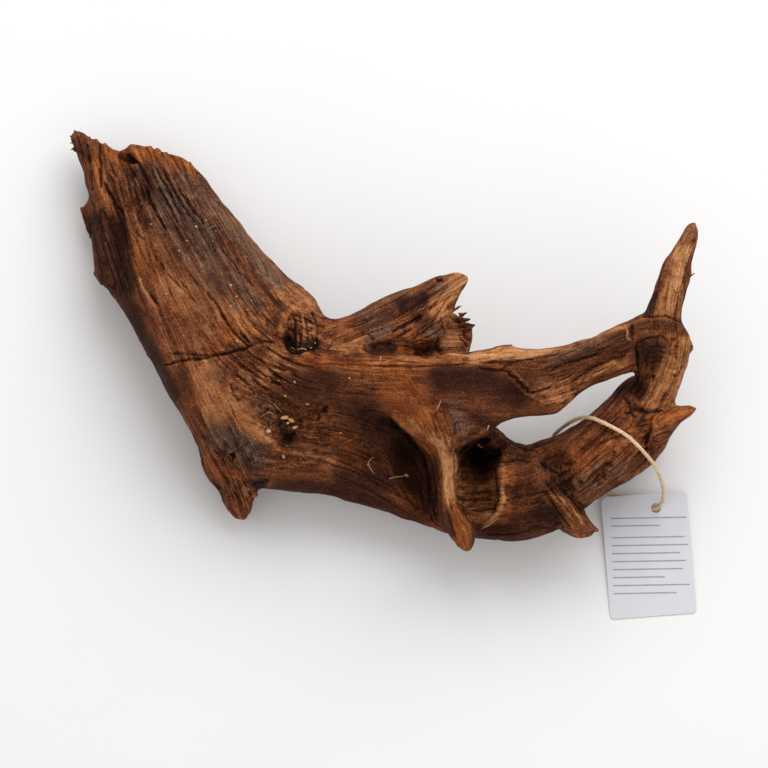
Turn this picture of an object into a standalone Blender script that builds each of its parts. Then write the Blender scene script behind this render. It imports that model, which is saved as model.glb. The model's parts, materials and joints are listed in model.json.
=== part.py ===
"""A weathered tusk wood root with a blank paper tag on a loop of twine.

The root is drawn in a view frame in millimetres: u runs right, v runs up the
root's long face and h is the height above the floor it lies on. Every limb is
a row of cross-sections; the limbs are fused, hollowed by strokes and laid on
three low points. Output is in metres, +Z up, with the origin on the floor
under the middle of the root.
"""

import math

import bmesh
import bpy
import numpy as np
from mathutils import Matrix, Vector, noise

MM = 0.001
TILT = math.radians(10.0)  # the view frame leans back by this much from plan
ORIGIN = (-0.6, 19.6, 0.0)  # mm, point of the laid root that becomes the origin
FUSE_VOXEL = 2.2  # mm
FINE_VOXEL = 1.8  # mm
ROOT_TRIANGLES = 11000
RING = 24  # points round a cross-section

TAG_SIZE = (52.0, 74.0, 0.5)  # mm, an A8 card
TAG_MIDDLE = (159.4, -105.0)  # mm, laid x and y
TAG_TURN = math.radians(4.5)
TAG_HOLE = (6.6, 28.1, 3.0)  # mm, across and up from the middle, and its radius
TAG_CORNERS = (3.8, 2.4)  # mm, radius at the top and at the bottom
TAG_LIFT = (0.3, 4.2)  # mm, underside above the floor at the lower and upper edge
TWINE_RADIUS = 1.15  # mm

WOOD = (0.115, 0.052, 0.026, 1.0)
PAPER = (0.80, 0.81, 0.82, 1.0)
JUTE = (0.62, 0.50, 0.33, 1.0)

# Each row: left edge (u, v, h), right edge (u, v, h), rise above and sag below
# the middle of the line between the two edges.
SLAB = [
    (-153, 145.5, 21, -120, 135.5, 24, 9, 11),
    (-166, 136, 20, -112.5, 129, 25, 16, 15),
    (-175, 124, 20, -108, 123, 26, 20, 18),
    (-177, 108, 20, -97, 108, 28, 23, 22),
    (-177, 92, 21, -87, 95, 30, 26, 24),
    (-175, 77, 22, -75, 80.5, 33, 29, 25),
    (-173.5, 64, 24, -64, 69.5, 38, 31, 27),
    (-163.5, 53.5, 26, -56, 62, 44, 33, 29),
    (-152.5, 37.5, 29, -48, 56, 50, 34, 33),
    (-141.5, 16.5, 32, -41, 50, 56, 35, 37),
    (-131, -3, 34, -36, 40, 60, 34, 40),
    (-121, -20, 35, -28, 20, 62, 31, 42),
    (-114, -32, 34, -25, -5, 60, 28, 42),
    (-110.5, -42, 33, -30, -35, 54, 24, 38),
    (-108, -52, 30, -50, -60, 44, 17, 30),
]
HORN = [
    (-175, 104, 22, -158, 106, 26, 17, 14),
    (-176.5, 114, 22, -157, 114, 26, 18, 13),
    (-179.5, 124, 22, -157, 123, 26, 17, 12),
    (-183.3, 135, 23, -158, 134, 25, 14, 10),
    (-188, 143.5, 24, -166, 142.5, 26, 9, 8),
    (-190, 149.5, 25, -177, 148.5, 26, 6, 6),
    (-188, 154, 26, -183, 153, 26, 2.5, 2.5),
]
FLAKE = [
    (-176, 86, 18, -168, 86, 20, 5, 5),
    (-180, 94, 17, -170, 94, 20, 4.5, 5),
    (-184.5, 103, 16, -173, 103, 20, 3.5, 4),
    (-183, 108, 16, -177.5, 108, 18, 2, 2),
]
LEFT_FOOT = [
    (-110, -42, 34, -70, -42, 42, 18, 26),
    (-105.5, -57, 28, -71, -56, 36, 16, 24),
    (-99.3, -64, 22, -76.3, -62, 29, 14, 20),
    (-95.3, -72, 17, -79.5, -69, 21, 10, 15),
    (-90, -79.5, 13, -81, -76.5, 15, 5, 8),
    (-86.5, -82.5, 11, -83, -81.5, 11, 2, 3),
]
UPPER_ARM = [
    (-60, 48, 56, -60, -14, 62, 30, 40),
    (-35, 27, 74, -35, -14, 70, 20, 40),
    (-12, 19, 82, -10, -15, 76, 17, 38),
    (15, 17, 86, 15, -18, 80, 15, 36),
    (40, 17.5, 88, 42, -22, 81, 14, 36),
    (55, 19, 88, 60, -24.5, 81, 13, 32),
    (67, 21.8, 88, 68, -22.5, 81, 12, 30),
    (75, 24.5, 87, 76, -20, 80, 12, 28),
    (84, 20.6, 86, 88, -18, 79, 12, 26),
    (103, 21.5, 86, 102, -17.3, 78, 12, 24),
    (118, 25, 85, 113, -9, 77, 12, 22),
    (132, 31, 83, 127, 1, 75, 13, 20),
    (146, 37.3, 80, 143, 7, 72, 13, 19),
    (158, 41, 77, 154, 7, 69, 14, 19),
    (172, 39.5, 72, 167, 9, 66, 12, 16),
]
SPIKE_AND_ELBOW = [
    (184.5, 98.8, 86, 188, 97.5, 86, 1.2, 1.5),
    (179.5, 92.5, 85, 187.6, 90, 85, 4, 4),
    (174.5, 83.5, 83, 186.5, 82, 83, 6, 6),
    (168.5, 73.5, 81, 184.5, 72, 81, 8, 8),
    (163.5, 62, 79, 182.9, 63, 79, 9, 10),
    (159.5, 50, 77, 179.5, 50, 77, 11, 12),
    (157, 41, 75, 177.4, 40, 75, 13, 15),
    (155, 30, 72, 181, 31, 70, 15, 18),
    (154, 19, 68, 184.8, 20, 66, 15, 20),
    (154, 8, 62, 179.8, 6, 60, 14, 22),
    (152, 0, 54, 176, -5, 54, 14, 26),
    (148, -8, 46, 172.5, -14, 46, 16, 30),
    (143, -12, 42, 172, -24, 41, 18, 32),
]
LOWER_ARM = [
    (160, 6, 52, 176, -18, 46, 15, 28),
    (149, 4.5, 52, 171, -32, 43, 20, 36),
    (140, -4, 51, 163, -43, 41, 22, 42),
    (130, -13, 49, 150, -56, 39, 24, 40),
    (119, -22, 47, 136, -65, 38, 24, 38),
    (108, -29.5, 45, 122, -74, 38, 24, 34),
    (96, -34.5, 45, 106, -87, 39, 22, 32),
    (84, -36.5, 44, 92, -92, 40, 18, 31),
    (73, -33, 43, 76, -94, 40, 14, 30),
    (60, -28, 40, 62, -93, 40, 8, 27),
    (48, -30, 37, 50, -92, 38, 4, 24),
    (35, -35, 34, 38, -89, 36, 4, 22),
]
BOWL_BODY = [
    (-92, 4, 52, -85, -59, 38, 24, 32),
    (-70, 4, 60, -68, -64, 38, 22, 34),
    (-45, 2, 70, -45, -66, 38, 16, 36),
    (-20, 0, 72, -20, -70, 37, 10, 34),
    (5, 0, 66, 8, -79, 36, 6, 32),
    (25, 0, 60, 27, -86.5, 38, 4, 30),
    (45, -8, 52, 45, -92, 40, 3, 32),
    (62, -22, 46, 62, -94, 40, 3, 32),
    (74, -33, 44, 76, -94, 40, 2, 28),
]
SEPTUM = [
    (-12, 4, 72, 86, 0, 76, 18, 24),
    (-2, -9, 74, 76, -13, 77, 19, 24),
    (7, -18.5, 74, 68, -22, 74, 20, 26),
    (15, -27, 72, 63, -29, 70, 20, 28),
    (25, -34, 69, 55, -34.5, 67, 20, 30),
    (31, -41, 66, 47, -42, 64, 19, 32),
    (33.5, -51, 62, 43.5, -52, 61, 19, 32),
    (34, -64, 59, 42.5, -64, 57, 19, 30),
    (35.5, -76, 57, 46, -76, 55, 17, 26),
    (39, -88, 56, 53, -86.5, 54, 12, 20),
    (44, -95.5, 57, 55, -94.5, 56, 7, 12),
    (47, -101.5, 58, 52, -101, 58, 2.5, 4),
]
THORN = [
    (-48, 42, 62, -44, 16, 70, 14, 24),
    (-27, 38.2, 66, -20, 15, 76, 14, 24),
    (-9, 47.5, 70, 2, 16, 78, 15, 24),
    (8, 54, 75, 17, 17, 78, 14, 24),
    (20, 58.8, 79, 29, 19, 76, 13, 22),
    (30, 64, 82, 35.5, 30, 77, 10, 18),
    (39, 66.7, 85, 41, 46, 80, 7, 12),
    (46, 66.6, 87, 47.5, 56, 84, 4, 6),
    (51.3, 64.5, 89, 51, 61, 88, 1.5, 2),
]
STUB = [
    (14, 38, 50, 14, 6, 56, 18, 26),
    (33, 42.5, 46, 33, 10, 52, 15, 22),
    (43, 43, 44, 44, 13, 48, 13, 16),
    (49.5, 36.5, 42, 50.2, 17.5, 44, 10, 12),
    (55, 34.5, 40, 53, 25, 41, 5, 7),
]
RIGHT_SPUR = [
    (146, -14, 52, 152, -48, 46, 20, 22),
    (161, -14, 56, 166, -38, 51, 15, 18),
    (173, -14.8, 58, 176.5, -24.5, 55, 9, 11),
    (182, -13.3, 59, 182.5, -19.3, 58, 4.5, 5),
    (188.7, -13.4, 60, 188.2, -16, 60, 1.5, 1.8),
]
LOWER_SPUR = [
    (100, -50, 52, 90, -62, 48, 12, 20),
    (108, -62, 54, 99, -76, 50, 12, 20),
    (115, -72, 54, 106, -86.5, 51, 11, 18),
    (120, -77.5, 53, 113, -91.5, 51, 8, 13),
    (124.3, -83, 52, 120, -92.2, 51, 5, 7),
    (129.3, -87.3, 51, 127.5, -89.2, 51, 1.6, 1.8),
]
LUMPS = [
    (52, -16, 60, 54, -37, 54, 10, 14),
    (61, -24, 57, 62, -38, 52, 8, 12),
    (70, -31, 53, 71, -38, 50, 4, 8),
]
# Rows, squareness of the section (1 is round) and lean of its crest (above 1
# leans to the left edge).
LIMBS = [
    (SLAB, 0.62, 1.25),
    (HORN, 0.8, 1.0),
    (FLAKE, 0.8, 1.0),
    (LEFT_FOOT, 0.8, 1.0),
    (UPPER_ARM, 0.6, 1.7),
    (SPIKE_AND_ELBOW, 0.75, 1.0),
    (LOWER_ARM, 0.75, 1.0),
    (BOWL_BODY, 0.8, 1.2),
    (SEPTUM, 0.7, 1.0),
    (THORN, 0.75, 1.2),
    (STUB, 0.7, 1.0),
    (RIGHT_SPUR, 0.8, 1.0),
    (LOWER_SPUR, 0.8, 1.0),
    (LUMPS, 0.8, 1.0),
]

# Strokes on the face towards the viewer: path of (u, v), radius, depth in mm
# (a negative depth raises the wood).
HOLLOWS = [
    ([(-30, -40), (0, -46), (12, -50)], 26, 9),
    ([(14, -40), (20, -56), (26, -74)], 10, 12),
    ([(55, -42), (57, -47)], 10, 24),
    ([(57, -62), (58, -76)], 11, 5),
    ([(-57, 24), (-52, 34)], 6.5, 14),
    ([(-161, 98), (-159, 86), (-157, 62)], 7, 6),
    ([(-155, 144), (-152, 126)], 3.5, 11),
    ([(-62, -12), (-50, -30)], 15, 8),
    ([(-95, -44), (-90, -50)], 10, 5),
    ([(18, 21), (30, 18.5)], 4, 9),
    ([(101, -46), (108, -58)], 8, 12),
    ([(84, -68), (92, -80), (102, -86)], 8, 6),
    ([(62, -6), (84, -6)], 12, 3),
    ([(151, 8), (153, 26)], 4, 4),
    ([(154, -20), (158, -38)], 4, 5),
    ([(146, 0), (156, -6)], 6, 6),
    ([(-140, 12), (-112, 16), (-84, 22)], 5, 2),
    ([(-35, 13), (10, 12), (50, 13)], 5, -2),
    ([(-150, 130), (-152, 100), (-148, 62), (-133, 20), (-119, -10), (-112, -34)], 6, -3),
    ([(70, -52), (96, -54)], 6, -3),
    ([(-100, -14), (-96, 0)], 14, -4),
    ([(70, -44), (72, -72)], 4, -4),
]
# The same for the underside.
UNDER_HOLLOWS = [
    ([(-96, 62), (-62, 12), (-30, -14)], 15, 7),
    ([(-120, 40), (-100, -10)], 9, 4),
    ([(44, -66), (92, -66), (118, -52)], 14, 7),
    ([(0, -30), (40, -46)], 12, 5),
]
# Soft swellings of the underside that the root rests on: (u, v), radius, reach.
RESTS = [(-146, 100, 18, 1.6), (-86, -62, 11, 1.6), (152, -36, 18, 1.6)]

# Centre line of the twine (u, v, h): from its knot under the arm, below the
# tag, up through the hole, over the arm and back down through the opening.
TWINE = [
    (116, -49, 1.6), (123, -56, 1.6), (131, -62.5, 1.6), (138, -66.5, 1.6), (146, -69.5, 1.6),
    (153.5, -73, 1.6), (159.0, -75, 1.65), (163.5, -75, 4.0), (166.8, -72.2, 8.4),
    (168.2, -66.5, 16), (167.3, -60, 27), (164.5, -53, 40), (160.5, -46.5, 53), (155.3, -40.5, 64),
    (150, -35, 70), (144, -30, 71.5), (137, -26, 71.3), (131, -23, 70.5), (125, -20.5, 66.5),
    (120, -20, 60), (115, -21.3, 50), (110, -24, 38), (105, -28, 26), (102, -31.5, 16),
    (102, -36, 7), (105, -40, 2.6), (109, -44.5, 1.7), (112.5, -49.5, 1.6),
]


def lean(u, v, h):
    """View frame (u, v, floor height) to laid millimetres."""
    w = (h - v * math.sin(TILT)) / math.cos(TILT)
    return Vector((u, v * math.cos(TILT) - w * math.sin(TILT), h))


def spline(rows, t):
    """Catmull-Rom point at t (0 to 1 along the rows)."""
    rows = np.asarray(rows, float)
    x = t * (len(rows) - 1)
    i = min(int(x), len(rows) - 2)
    f = x - i
    p1, p2 = rows[i], rows[i + 1]
    p0 = rows[i - 1] if i else 2 * p1 - p2
    p3 = rows[i + 2] if i + 2 < len(rows) else 2 * p2 - p1
    return 0.5 * (2 * p1 + (p2 - p0) * f + (2 * p0 - 5 * p1 + 4 * p2 - p3) * f**2
                  + (3 * p1 - p0 - 3 * p2 + p3) * f**3)


def section(row, square, crest):
    """Closed ring of points for one row of a limb."""
    left, right = np.array(row[:3]), np.array(row[3:6])
    rise, sag = max(row[6], 0.5), max(row[7], 0.5)
    ring = []
    for k in range(RING):
        a = 2 * math.pi * k / RING
        x, y = math.cos(a), math.sin(a)
        across = left + (right - left) * ((x + 1) / 2) ** (crest if y > 0 else 1)
        reach = rise if y > 0 else sag
        across[2] += math.copysign(abs(y) ** square, y) * reach
        ring.append(lean(*across))
    return ring


def limb(bm, rows, square, crest, steps=3):
    """Add one closed limb to bm."""
    count = (len(rows) - 1) * steps
    rings = [[bm.verts.new(p) for p in section(spline(rows, i / count), square, crest)]
             for i in range(count + 1)]
    for a, b in zip(rings, rings[1:]):
        for k in range(RING):
            n = (k + 1) % RING
            bm.faces.new((a[k], a[n], b[n], b[k]))
    bm.faces.new(rings[0][::-1])
    bm.faces.new(rings[-1])


def finish(name, colour, roughness):
    material = bpy.data.materials.new(name)
    material.use_nodes = True
    shader = material.node_tree.nodes["Principled BSDF"]
    shader.inputs["Base Color"].default_value = colour
    shader.inputs["Roughness"].default_value = roughness
    return material


def new_object(name, bm, colour, roughness):
    mesh = bpy.data.meshes.new(name)
    bm.to_mesh(mesh)
    bm.free()
    mesh.materials.append(finish(name, colour, roughness))
    obj = bpy.data.objects.new(name, mesh)
    bpy.context.scene.collection.objects.link(obj)
    return obj


def bake(obj):
    """Apply the modifiers of obj."""
    graph = bpy.context.evaluated_depsgraph_get()
    mesh = bpy.data.meshes.new_from_object(obj.evaluated_get(graph))
    obj.modifiers.clear()
    obj.data = mesh


def remesh(obj, voxel, smooth):
    mod = obj.modifiers.new("Remesh", "REMESH")
    mod.mode = "VOXEL"
    mod.voxel_size = voxel
    if smooth:
        mod = obj.modifiers.new("Smooth", "SMOOTH")
        mod.factor = 0.5
        mod.iterations = smooth
    bake(obj)


def points(mesh, attribute="vertices", what="co"):
    data = getattr(mesh, attribute)
    out = np.empty(len(data) * 3)
    data.foreach_get(what, out)
    return out.reshape(-1, 3)


def distance(p, path):
    """Distance of the (u, v) points p from a path."""
    best = np.full(len(p), 1e9)
    path = np.asarray(path, float)
    for a, b in zip(path, path[1:]):
        t = np.clip(((p - a) @ (b - a)) / ((b - a) @ (b - a)), 0, 1)
        best = np.minimum(best, np.linalg.norm(p - a - t[:, None] * (b - a), axis=1))
    return best


def falloff(d, radius):
    x = np.clip(1 - d / (1.6 * radius), 0, 1)
    return x * x * (3 - 2 * x)


def to_view(p):
    """Laid millimetres to view frame axes (u, v, towards the viewer)."""
    c, s = math.cos(TILT), math.sin(TILT)
    return np.stack([p[:, 0], c * p[:, 1] + s * p[:, 2], c * p[:, 2] - s * p[:, 1]], axis=1)


def carve(obj):
    """Press in the hollows and let the rests swell below."""
    mesh = obj.data
    co = points(mesh)
    normal = points(mesh, what="normal")
    view, facing = to_view(co), to_view(normal)[:, 2]
    front = np.clip((facing + 0.05) / 0.4, 0, 1)
    depth = np.zeros(len(co))
    under = np.zeros(len(co))
    for path, radius, deep in HOLLOWS:
        depth += deep * falloff(distance(view[:, :2], path), radius)
    for path, radius, deep in UNDER_HOLLOWS:
        under += deep * falloff(distance(view[:, :2], path), radius)
    depth = depth * front - under * np.clip(-facing / 0.4, 0, 1)
    view_axis = np.array([0, -math.sin(TILT), math.cos(TILT)])
    co = co - depth[:, None] * view_axis
    for u, v, radius, reach in RESTS:
        spot = lean(u, v, 0)
        d = np.hypot(co[:, 0] - spot.x, co[:, 1] - spot.y)
        below = (normal[:, 2] < -0.2) & (d < 1.6 * radius)
        low = co[below & (d < 0.4 * radius), 2].min()
        co[below, 2] -= (low + reach) * falloff(d[below], radius)
    mesh.vertices.foreach_set("co", co.ravel())
    mesh.update()


def weather(obj, swell, coarse, fine):
    """Uneven growth: an even swelling and soft noise along the normals."""
    mesh = obj.data
    co, normal = points(mesh), points(mesh, what="normal")
    push = [swell + coarse * noise.noise(Vector(p) / 26.0)
            + fine * noise.noise(Vector(p) / 9.0 + Vector((7, 3, 1))) for p in co]
    co = co + normal * np.array(push)[:, None]
    mesh.vertices.foreach_set("co", co.ravel())
    mesh.update()


def root():
    bm = bmesh.new()
    for rows, square, crest in LIMBS:
        limb(bm, rows, square, crest)
    bmesh.ops.recalc_face_normals(bm, faces=bm.faces)
    obj = new_object("root", bm, WOOD, 0.8)
    remesh(obj, FUSE_VOXEL, 5)
    carve(obj)
    remesh(obj, FINE_VOXEL, 2)
    weather(obj, 0.35, 2.0, 1.2)
    mod = obj.modifiers.new("Decimate", "DECIMATE")
    mod.ratio = min(1.0, ROOT_TRIANGLES / sum(len(p.vertices) - 2 for p in obj.data.polygons))
    bake(obj)
    bm = bmesh.new()
    bm.from_mesh(obj.data)
    cut = bmesh.ops.bisect_plane(bm, geom=bm.verts[:] + bm.edges[:] + bm.faces[:], dist=0.02,
                                 plane_co=(0, 0, 0), plane_no=(0, 0, -1), clear_outer=True)
    rim = [e for e in cut["geom_cut"] if isinstance(e, bmesh.types.BMEdge)]
    bmesh.ops.edgeloop_fill(bm, edges=rim)
    bmesh.ops.triangulate(bm, faces=bm.faces[:])
    bm.transform(Matrix.Scale(MM, 4) @ Matrix.Translation(-Vector(ORIGIN)))
    bm.to_mesh(obj.data)
    bm.free()
    for p in obj.data.polygons:
        p.use_smooth = False
    return obj


def card_outline():
    """Points round the tag, seen from above, in its own frame."""
    w, h = TAG_SIZE[0] / 2, TAG_SIZE[1] / 2
    top, foot = TAG_CORNERS
    rim = []
    for sx, sy, r, start in ((1, -1, foot, -90), (1, 1, top, 0), (-1, 1, top, 90), (-1, -1, foot, 180)):
        for k in range(6):
            a = math.radians(start + 18 * k)
            rim.append((sx * (w - r) + r * math.cos(a), sy * (h - r) + r * math.sin(a)))
    full = []
    for i, a in enumerate(rim):  # more points along the straight edges, for the rays to the hole
        b = rim[(i + 1) % len(rim)]
        parts = max(1, round(math.dist(a, b) / 9))
        full += [(a[0] + (b[0] - a[0]) * k / parts, a[1] + (b[1] - a[1]) * k / parts) for k in range(parts)]
    return full


def tag():
    bm = bmesh.new()
    hx, hy, hr = TAG_HOLE
    rings = []
    for height in (0.0, TAG_SIZE[2]):
        outer = card_outline()
        angles = [math.atan2(y - hy, x - hx) for x, y in outer]
        inner = [(hx + hr * math.cos(a), hy + hr * math.sin(a)) for a in angles]
        rings.append([[bm.verts.new((x, y, height)) for x, y in loop] for loop in (outer, inner)])
    (low_out, low_in), (high_out, high_in) = rings
    for k in range(len(low_out)):
        n = (k + 1) % len(low_out)
        bm.faces.new((high_out[k], high_out[n], high_in[n], high_in[k]))
        bm.faces.new((low_in[k], low_in[n], low_out[n], low_out[k]))
        bm.faces.new((low_out[k], low_out[n], high_out[n], high_out[k]))
        bm.faces.new((high_in[k], high_in[n], low_in[n], low_in[k]))
    low, high = TAG_LIFT
    place = (Matrix.Scale(MM, 4) @ Matrix.Translation(-Vector(ORIGIN))
             @ Matrix.Translation((*TAG_MIDDLE, (low + high) / 2)) @ Matrix.Rotation(TAG_TURN, 4, "Z")
             @ Matrix.Rotation(math.asin((high - low) / TAG_SIZE[1]), 4, "X"))
    bm.transform(place)
    bmesh.ops.recalc_face_normals(bm, faces=bm.faces)
    return new_object("tag", bm, PAPER, 0.6)


def twine():
    count = 3 * (len(TWINE) - 1)
    line = [(lean(*spline(TWINE, i / count)) - Vector(ORIGIN)) * MM for i in range(count + 1)]
    curve = bpy.data.curves.new("twine", "CURVE")
    curve.dimensions = "3D"
    curve.bevel_depth = TWINE_RADIUS * MM
    curve.bevel_resolution = 2
    curve.use_fill_caps = True
    path = curve.splines.new("POLY")
    path.points.add(len(line) - 1)
    for point, place in zip(path.points, line):
        point.co = (*place, 1)
    curve.materials.append(finish("twine", JUTE, 0.9))
    obj = bpy.data.objects.new("twine", curve)
    bpy.context.scene.collection.objects.link(obj)
    return obj


for old in list(bpy.data.objects):
    bpy.data.objects.remove(old)
root()
tag()
twine()
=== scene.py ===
import json
import math

import bmesh
import bpy
import numpy as np
from mathutils import Matrix, Vector, kdtree
from mathutils.bvhtree import BVHTree

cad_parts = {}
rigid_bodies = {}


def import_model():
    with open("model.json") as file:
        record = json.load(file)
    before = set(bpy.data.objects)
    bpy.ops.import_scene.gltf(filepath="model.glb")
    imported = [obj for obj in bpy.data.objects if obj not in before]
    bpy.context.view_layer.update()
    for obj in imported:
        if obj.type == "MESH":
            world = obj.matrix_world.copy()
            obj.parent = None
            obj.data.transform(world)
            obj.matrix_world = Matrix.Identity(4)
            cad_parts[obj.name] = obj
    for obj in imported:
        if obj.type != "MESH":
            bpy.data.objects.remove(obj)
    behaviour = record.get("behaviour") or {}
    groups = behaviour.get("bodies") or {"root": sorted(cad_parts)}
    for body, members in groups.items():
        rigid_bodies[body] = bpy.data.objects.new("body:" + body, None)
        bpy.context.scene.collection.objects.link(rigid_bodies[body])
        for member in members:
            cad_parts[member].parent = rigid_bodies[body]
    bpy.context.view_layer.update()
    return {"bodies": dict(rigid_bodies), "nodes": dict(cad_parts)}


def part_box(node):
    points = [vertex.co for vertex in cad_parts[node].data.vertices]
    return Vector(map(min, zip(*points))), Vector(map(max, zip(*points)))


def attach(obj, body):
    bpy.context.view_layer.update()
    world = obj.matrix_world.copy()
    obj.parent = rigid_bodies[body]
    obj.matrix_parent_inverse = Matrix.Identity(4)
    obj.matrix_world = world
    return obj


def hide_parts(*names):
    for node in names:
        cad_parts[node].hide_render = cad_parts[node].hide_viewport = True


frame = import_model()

# Places are in mm in the view frame: u to the right and v up in the picture, h above the floor.
MM = 0.001
TILT = math.radians(10.0)  # the view frame leans back by this much from plan
COS, SIN = math.cos(TILT), math.sin(TILT)
ORIGIN = np.array((-0.6, 19.6, 0.0))  # mm, point of the laid root that is the origin
PICTURE = 0.4608  # m across the picture
DISTANCE = 9.0  # m from the camera to the root
LOOK_AT = (0, 0, 50)  # u, v, h in the middle of the picture
BODY = next(iter(frame["bodies"]))
RANDOM = np.random.default_rng(7)
FAR = 1e9  # mm, farther than any place

TWINE_RADIUS = 1.15  # mm
TWIST = 0.0085  # m of twine for one turn of its strands
HAIRS, WISP = 360, 60  # short hairs along the twine, and frayed ones in the tag's hole
RULE_SLOPE = 0.018  # rise of the tag's ruled lines to the right

COARSE, FINE = 1.3, 0.85  # mm, voxels of the skin before and after the splinters
SKIN_TRIANGLES = 196000
FIBRES = ("fibre_a", "fibre_b", "fibre_c")  # slots that carry the fibre coordinates
COURSE_REACH = 75  # mm past a course that still follows it
WEAKEST = 0.02  # weight at which the fibres fade out


def table(text):
    """Rows "u v, u v: measure measure", parted by semicolons or line ends, as ([points], *measures).

    A line that ends with a comma runs on.
    """
    rows = []
    for row in text.strip().replace(",\n", ",").replace("\n", ";").split(";"):
        path, _, measures = row.partition(":")
        points = [tuple(map(float, point.split())) for point in path.split(",")]
        rows.append((points, *map(float, measures.split())))
    return rows


# Centre line of the twine, u v h.
TWINE = table("""
116 -49 1.6, 123 -56 1.6, 131 -62.5 1.6, 138 -66.5 1.6, 146 -69.5 1.6, 153.5 -73 1.6, 159 -75 1.65,
163.5 -75 4, 166.8 -72.2 8.4, 168.2 -66.5 16, 167.3 -60 27, 164.5 -53 40, 160.5 -46.5 53, 155.3 -40.5 64,
150 -35 70, 144 -30 71.5, 137 -26 71.3, 131 -23 70.5, 125 -20.5 66.5, 120 -20 60, 115 -21.3 50, 110 -24 38,
105 -28 26, 102 -31.5 16, 102 -36 7, 105 -40 2.6, 109 -44.5 1.7, 112.5 -49.5 1.6
""")[0][0]

# Fibre courses, u v h and reach at each point: the slot that carries the course.
COURSES = table("""
-146 152 32 26, -128 115 46 28, -106 76 58 28, -90 48 70 26, -72 26 82 24, -48 13 88 22, -20 9 92 22,
15 7 98 24, 45 4 98 26, 75 3 94 22, 100 4 92 18, 125 13 90 17, 148 24 86 15: 0
-172 140 32 20, -160 100 40 24, -147 60 52 24, -132 25 60 24, -118 -5 60 22, -104 -32 52 20, -92 -55 42 15,
-84 -78 16 12: 1; -72 -8 76 14, -50 -18 66 17, -22 -22 58 20, 4 -34 50 18, 20 -58 44 14, 30 -84 40 11: 2
-70 -46 52 10, -45 -50 52 14, -15 -60 48 14, 12 -76 42 12, 34 -90 38 10: 1
14 2 96 10, 29 -16 90 12, 36 -36 84 12, 38 -60 76 12, 42 -82 68 12, 49 -99 60 10: 1
56 -68 50 16, 80 -66 60 20, 105 -58 66 20, 128 -40 70 20, 148 -20 70 18, 161 0 72 15, 168 22 84 13,
169 45 90 12, 174 70 90 12, 184 96 87 10: 1
-30 22 82 12, -8 31 88 14, 14 41 92 15, 32 53 93 12, 49 63 90 10: 1; 10 26 66 9, 32 27 62 11, 52 27 50 12: 2
96 -46 64 8, 108 -66 66 10, 118 -79 60 9, 128 -88 52 8: 2
142 -30 66 8, 160 -25 68 11, 174 -19 62 9, 187 -15 60 8: 2
""")

# Splinters fused into the skin, from u v h, to u v h: radius at each end.
SPLINTERS = table("""
-182 143 25, -189 149.8 25: 2.6 0.9; -184 147 26, -186.6 153 27: 2.2 0.9
-183 143 24, -187.8 141.2 23: 1.8 0.8; -176 144 28, -182 149.8 28: 2.4 1.2
-172 142 28, -174 147.6 29: 2.2 1.2; -166 140 28, -169 145.2 29: 2 1; -150 137 28, -151.2 143.8 29: 2.4 1.4
-146 137 30, -146.5 142.6 31: 2.4 1.4; -141 138 31, -141.5 143.6 32: 2.6 1.3
-136 136 32, -137 141.6 33: 2.2 1.2; -131 134 33, -132 139.8 34: 2.4 1.2
-125 131 34, -126 136.8 35: 2.4 1.2; -118 127 35, -119.5 132.8 35: 2.2 1.1
-155 134 26, -157.5 137.8 26: 2 1; -176 98 20, -183.2 106.6 19: 3 1.2; -171 66 26, -174.6 67.5 26: 3 1.2
-170 76 26, -174.6 81 26: 3 1.4; -177 128 26, -183.6 137.6 26: 2.6 1.4; -80 -64 30, -77 -67.6 30: 2.6 1.4
-84 -74 18, -85 -81.4 14: 3 1.8; 39 42 78, 45.5 46.4 78: 0.85 0.55; 45 38 55, 46 41 56: 1.6 0.9
46 34 55, 53.8 34.4 53: 2 0.8; 44 30 56, 52.6 29.4 52: 2 0.9; 44 25 55, 51.6 24.4 51: 2 0.9
72 20 90, 75.2 23.4 90: 2.2 1.1; 181 66 84, 183.9 67.8 84: 2 1.2; 181 26 72, 184.4 20 70: 2.6 1.6
120 -84 55, 128 -87.8 52: 2.4 0.8; 116 -87 54, 119 -91.2 53: 2 1; 48 -95 58, 51.5 -99.4 58: 2.4 1.4
180 -18 60, 187.2 -14.2 60: 2 0.9; 62 -26 60, 66 -24.8 61: 1.5 0.7
""")

# Fringes of torn fibres, between u v h, u v h, growing along du dv dh: count, length.
FRINGES = table("""
-149 138 29, -114 129 34, -0.35 1 0.1: 22 3.6; 44 39 56, 47 20 52, 1 0.12 0: 10 3.4
""")

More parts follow.
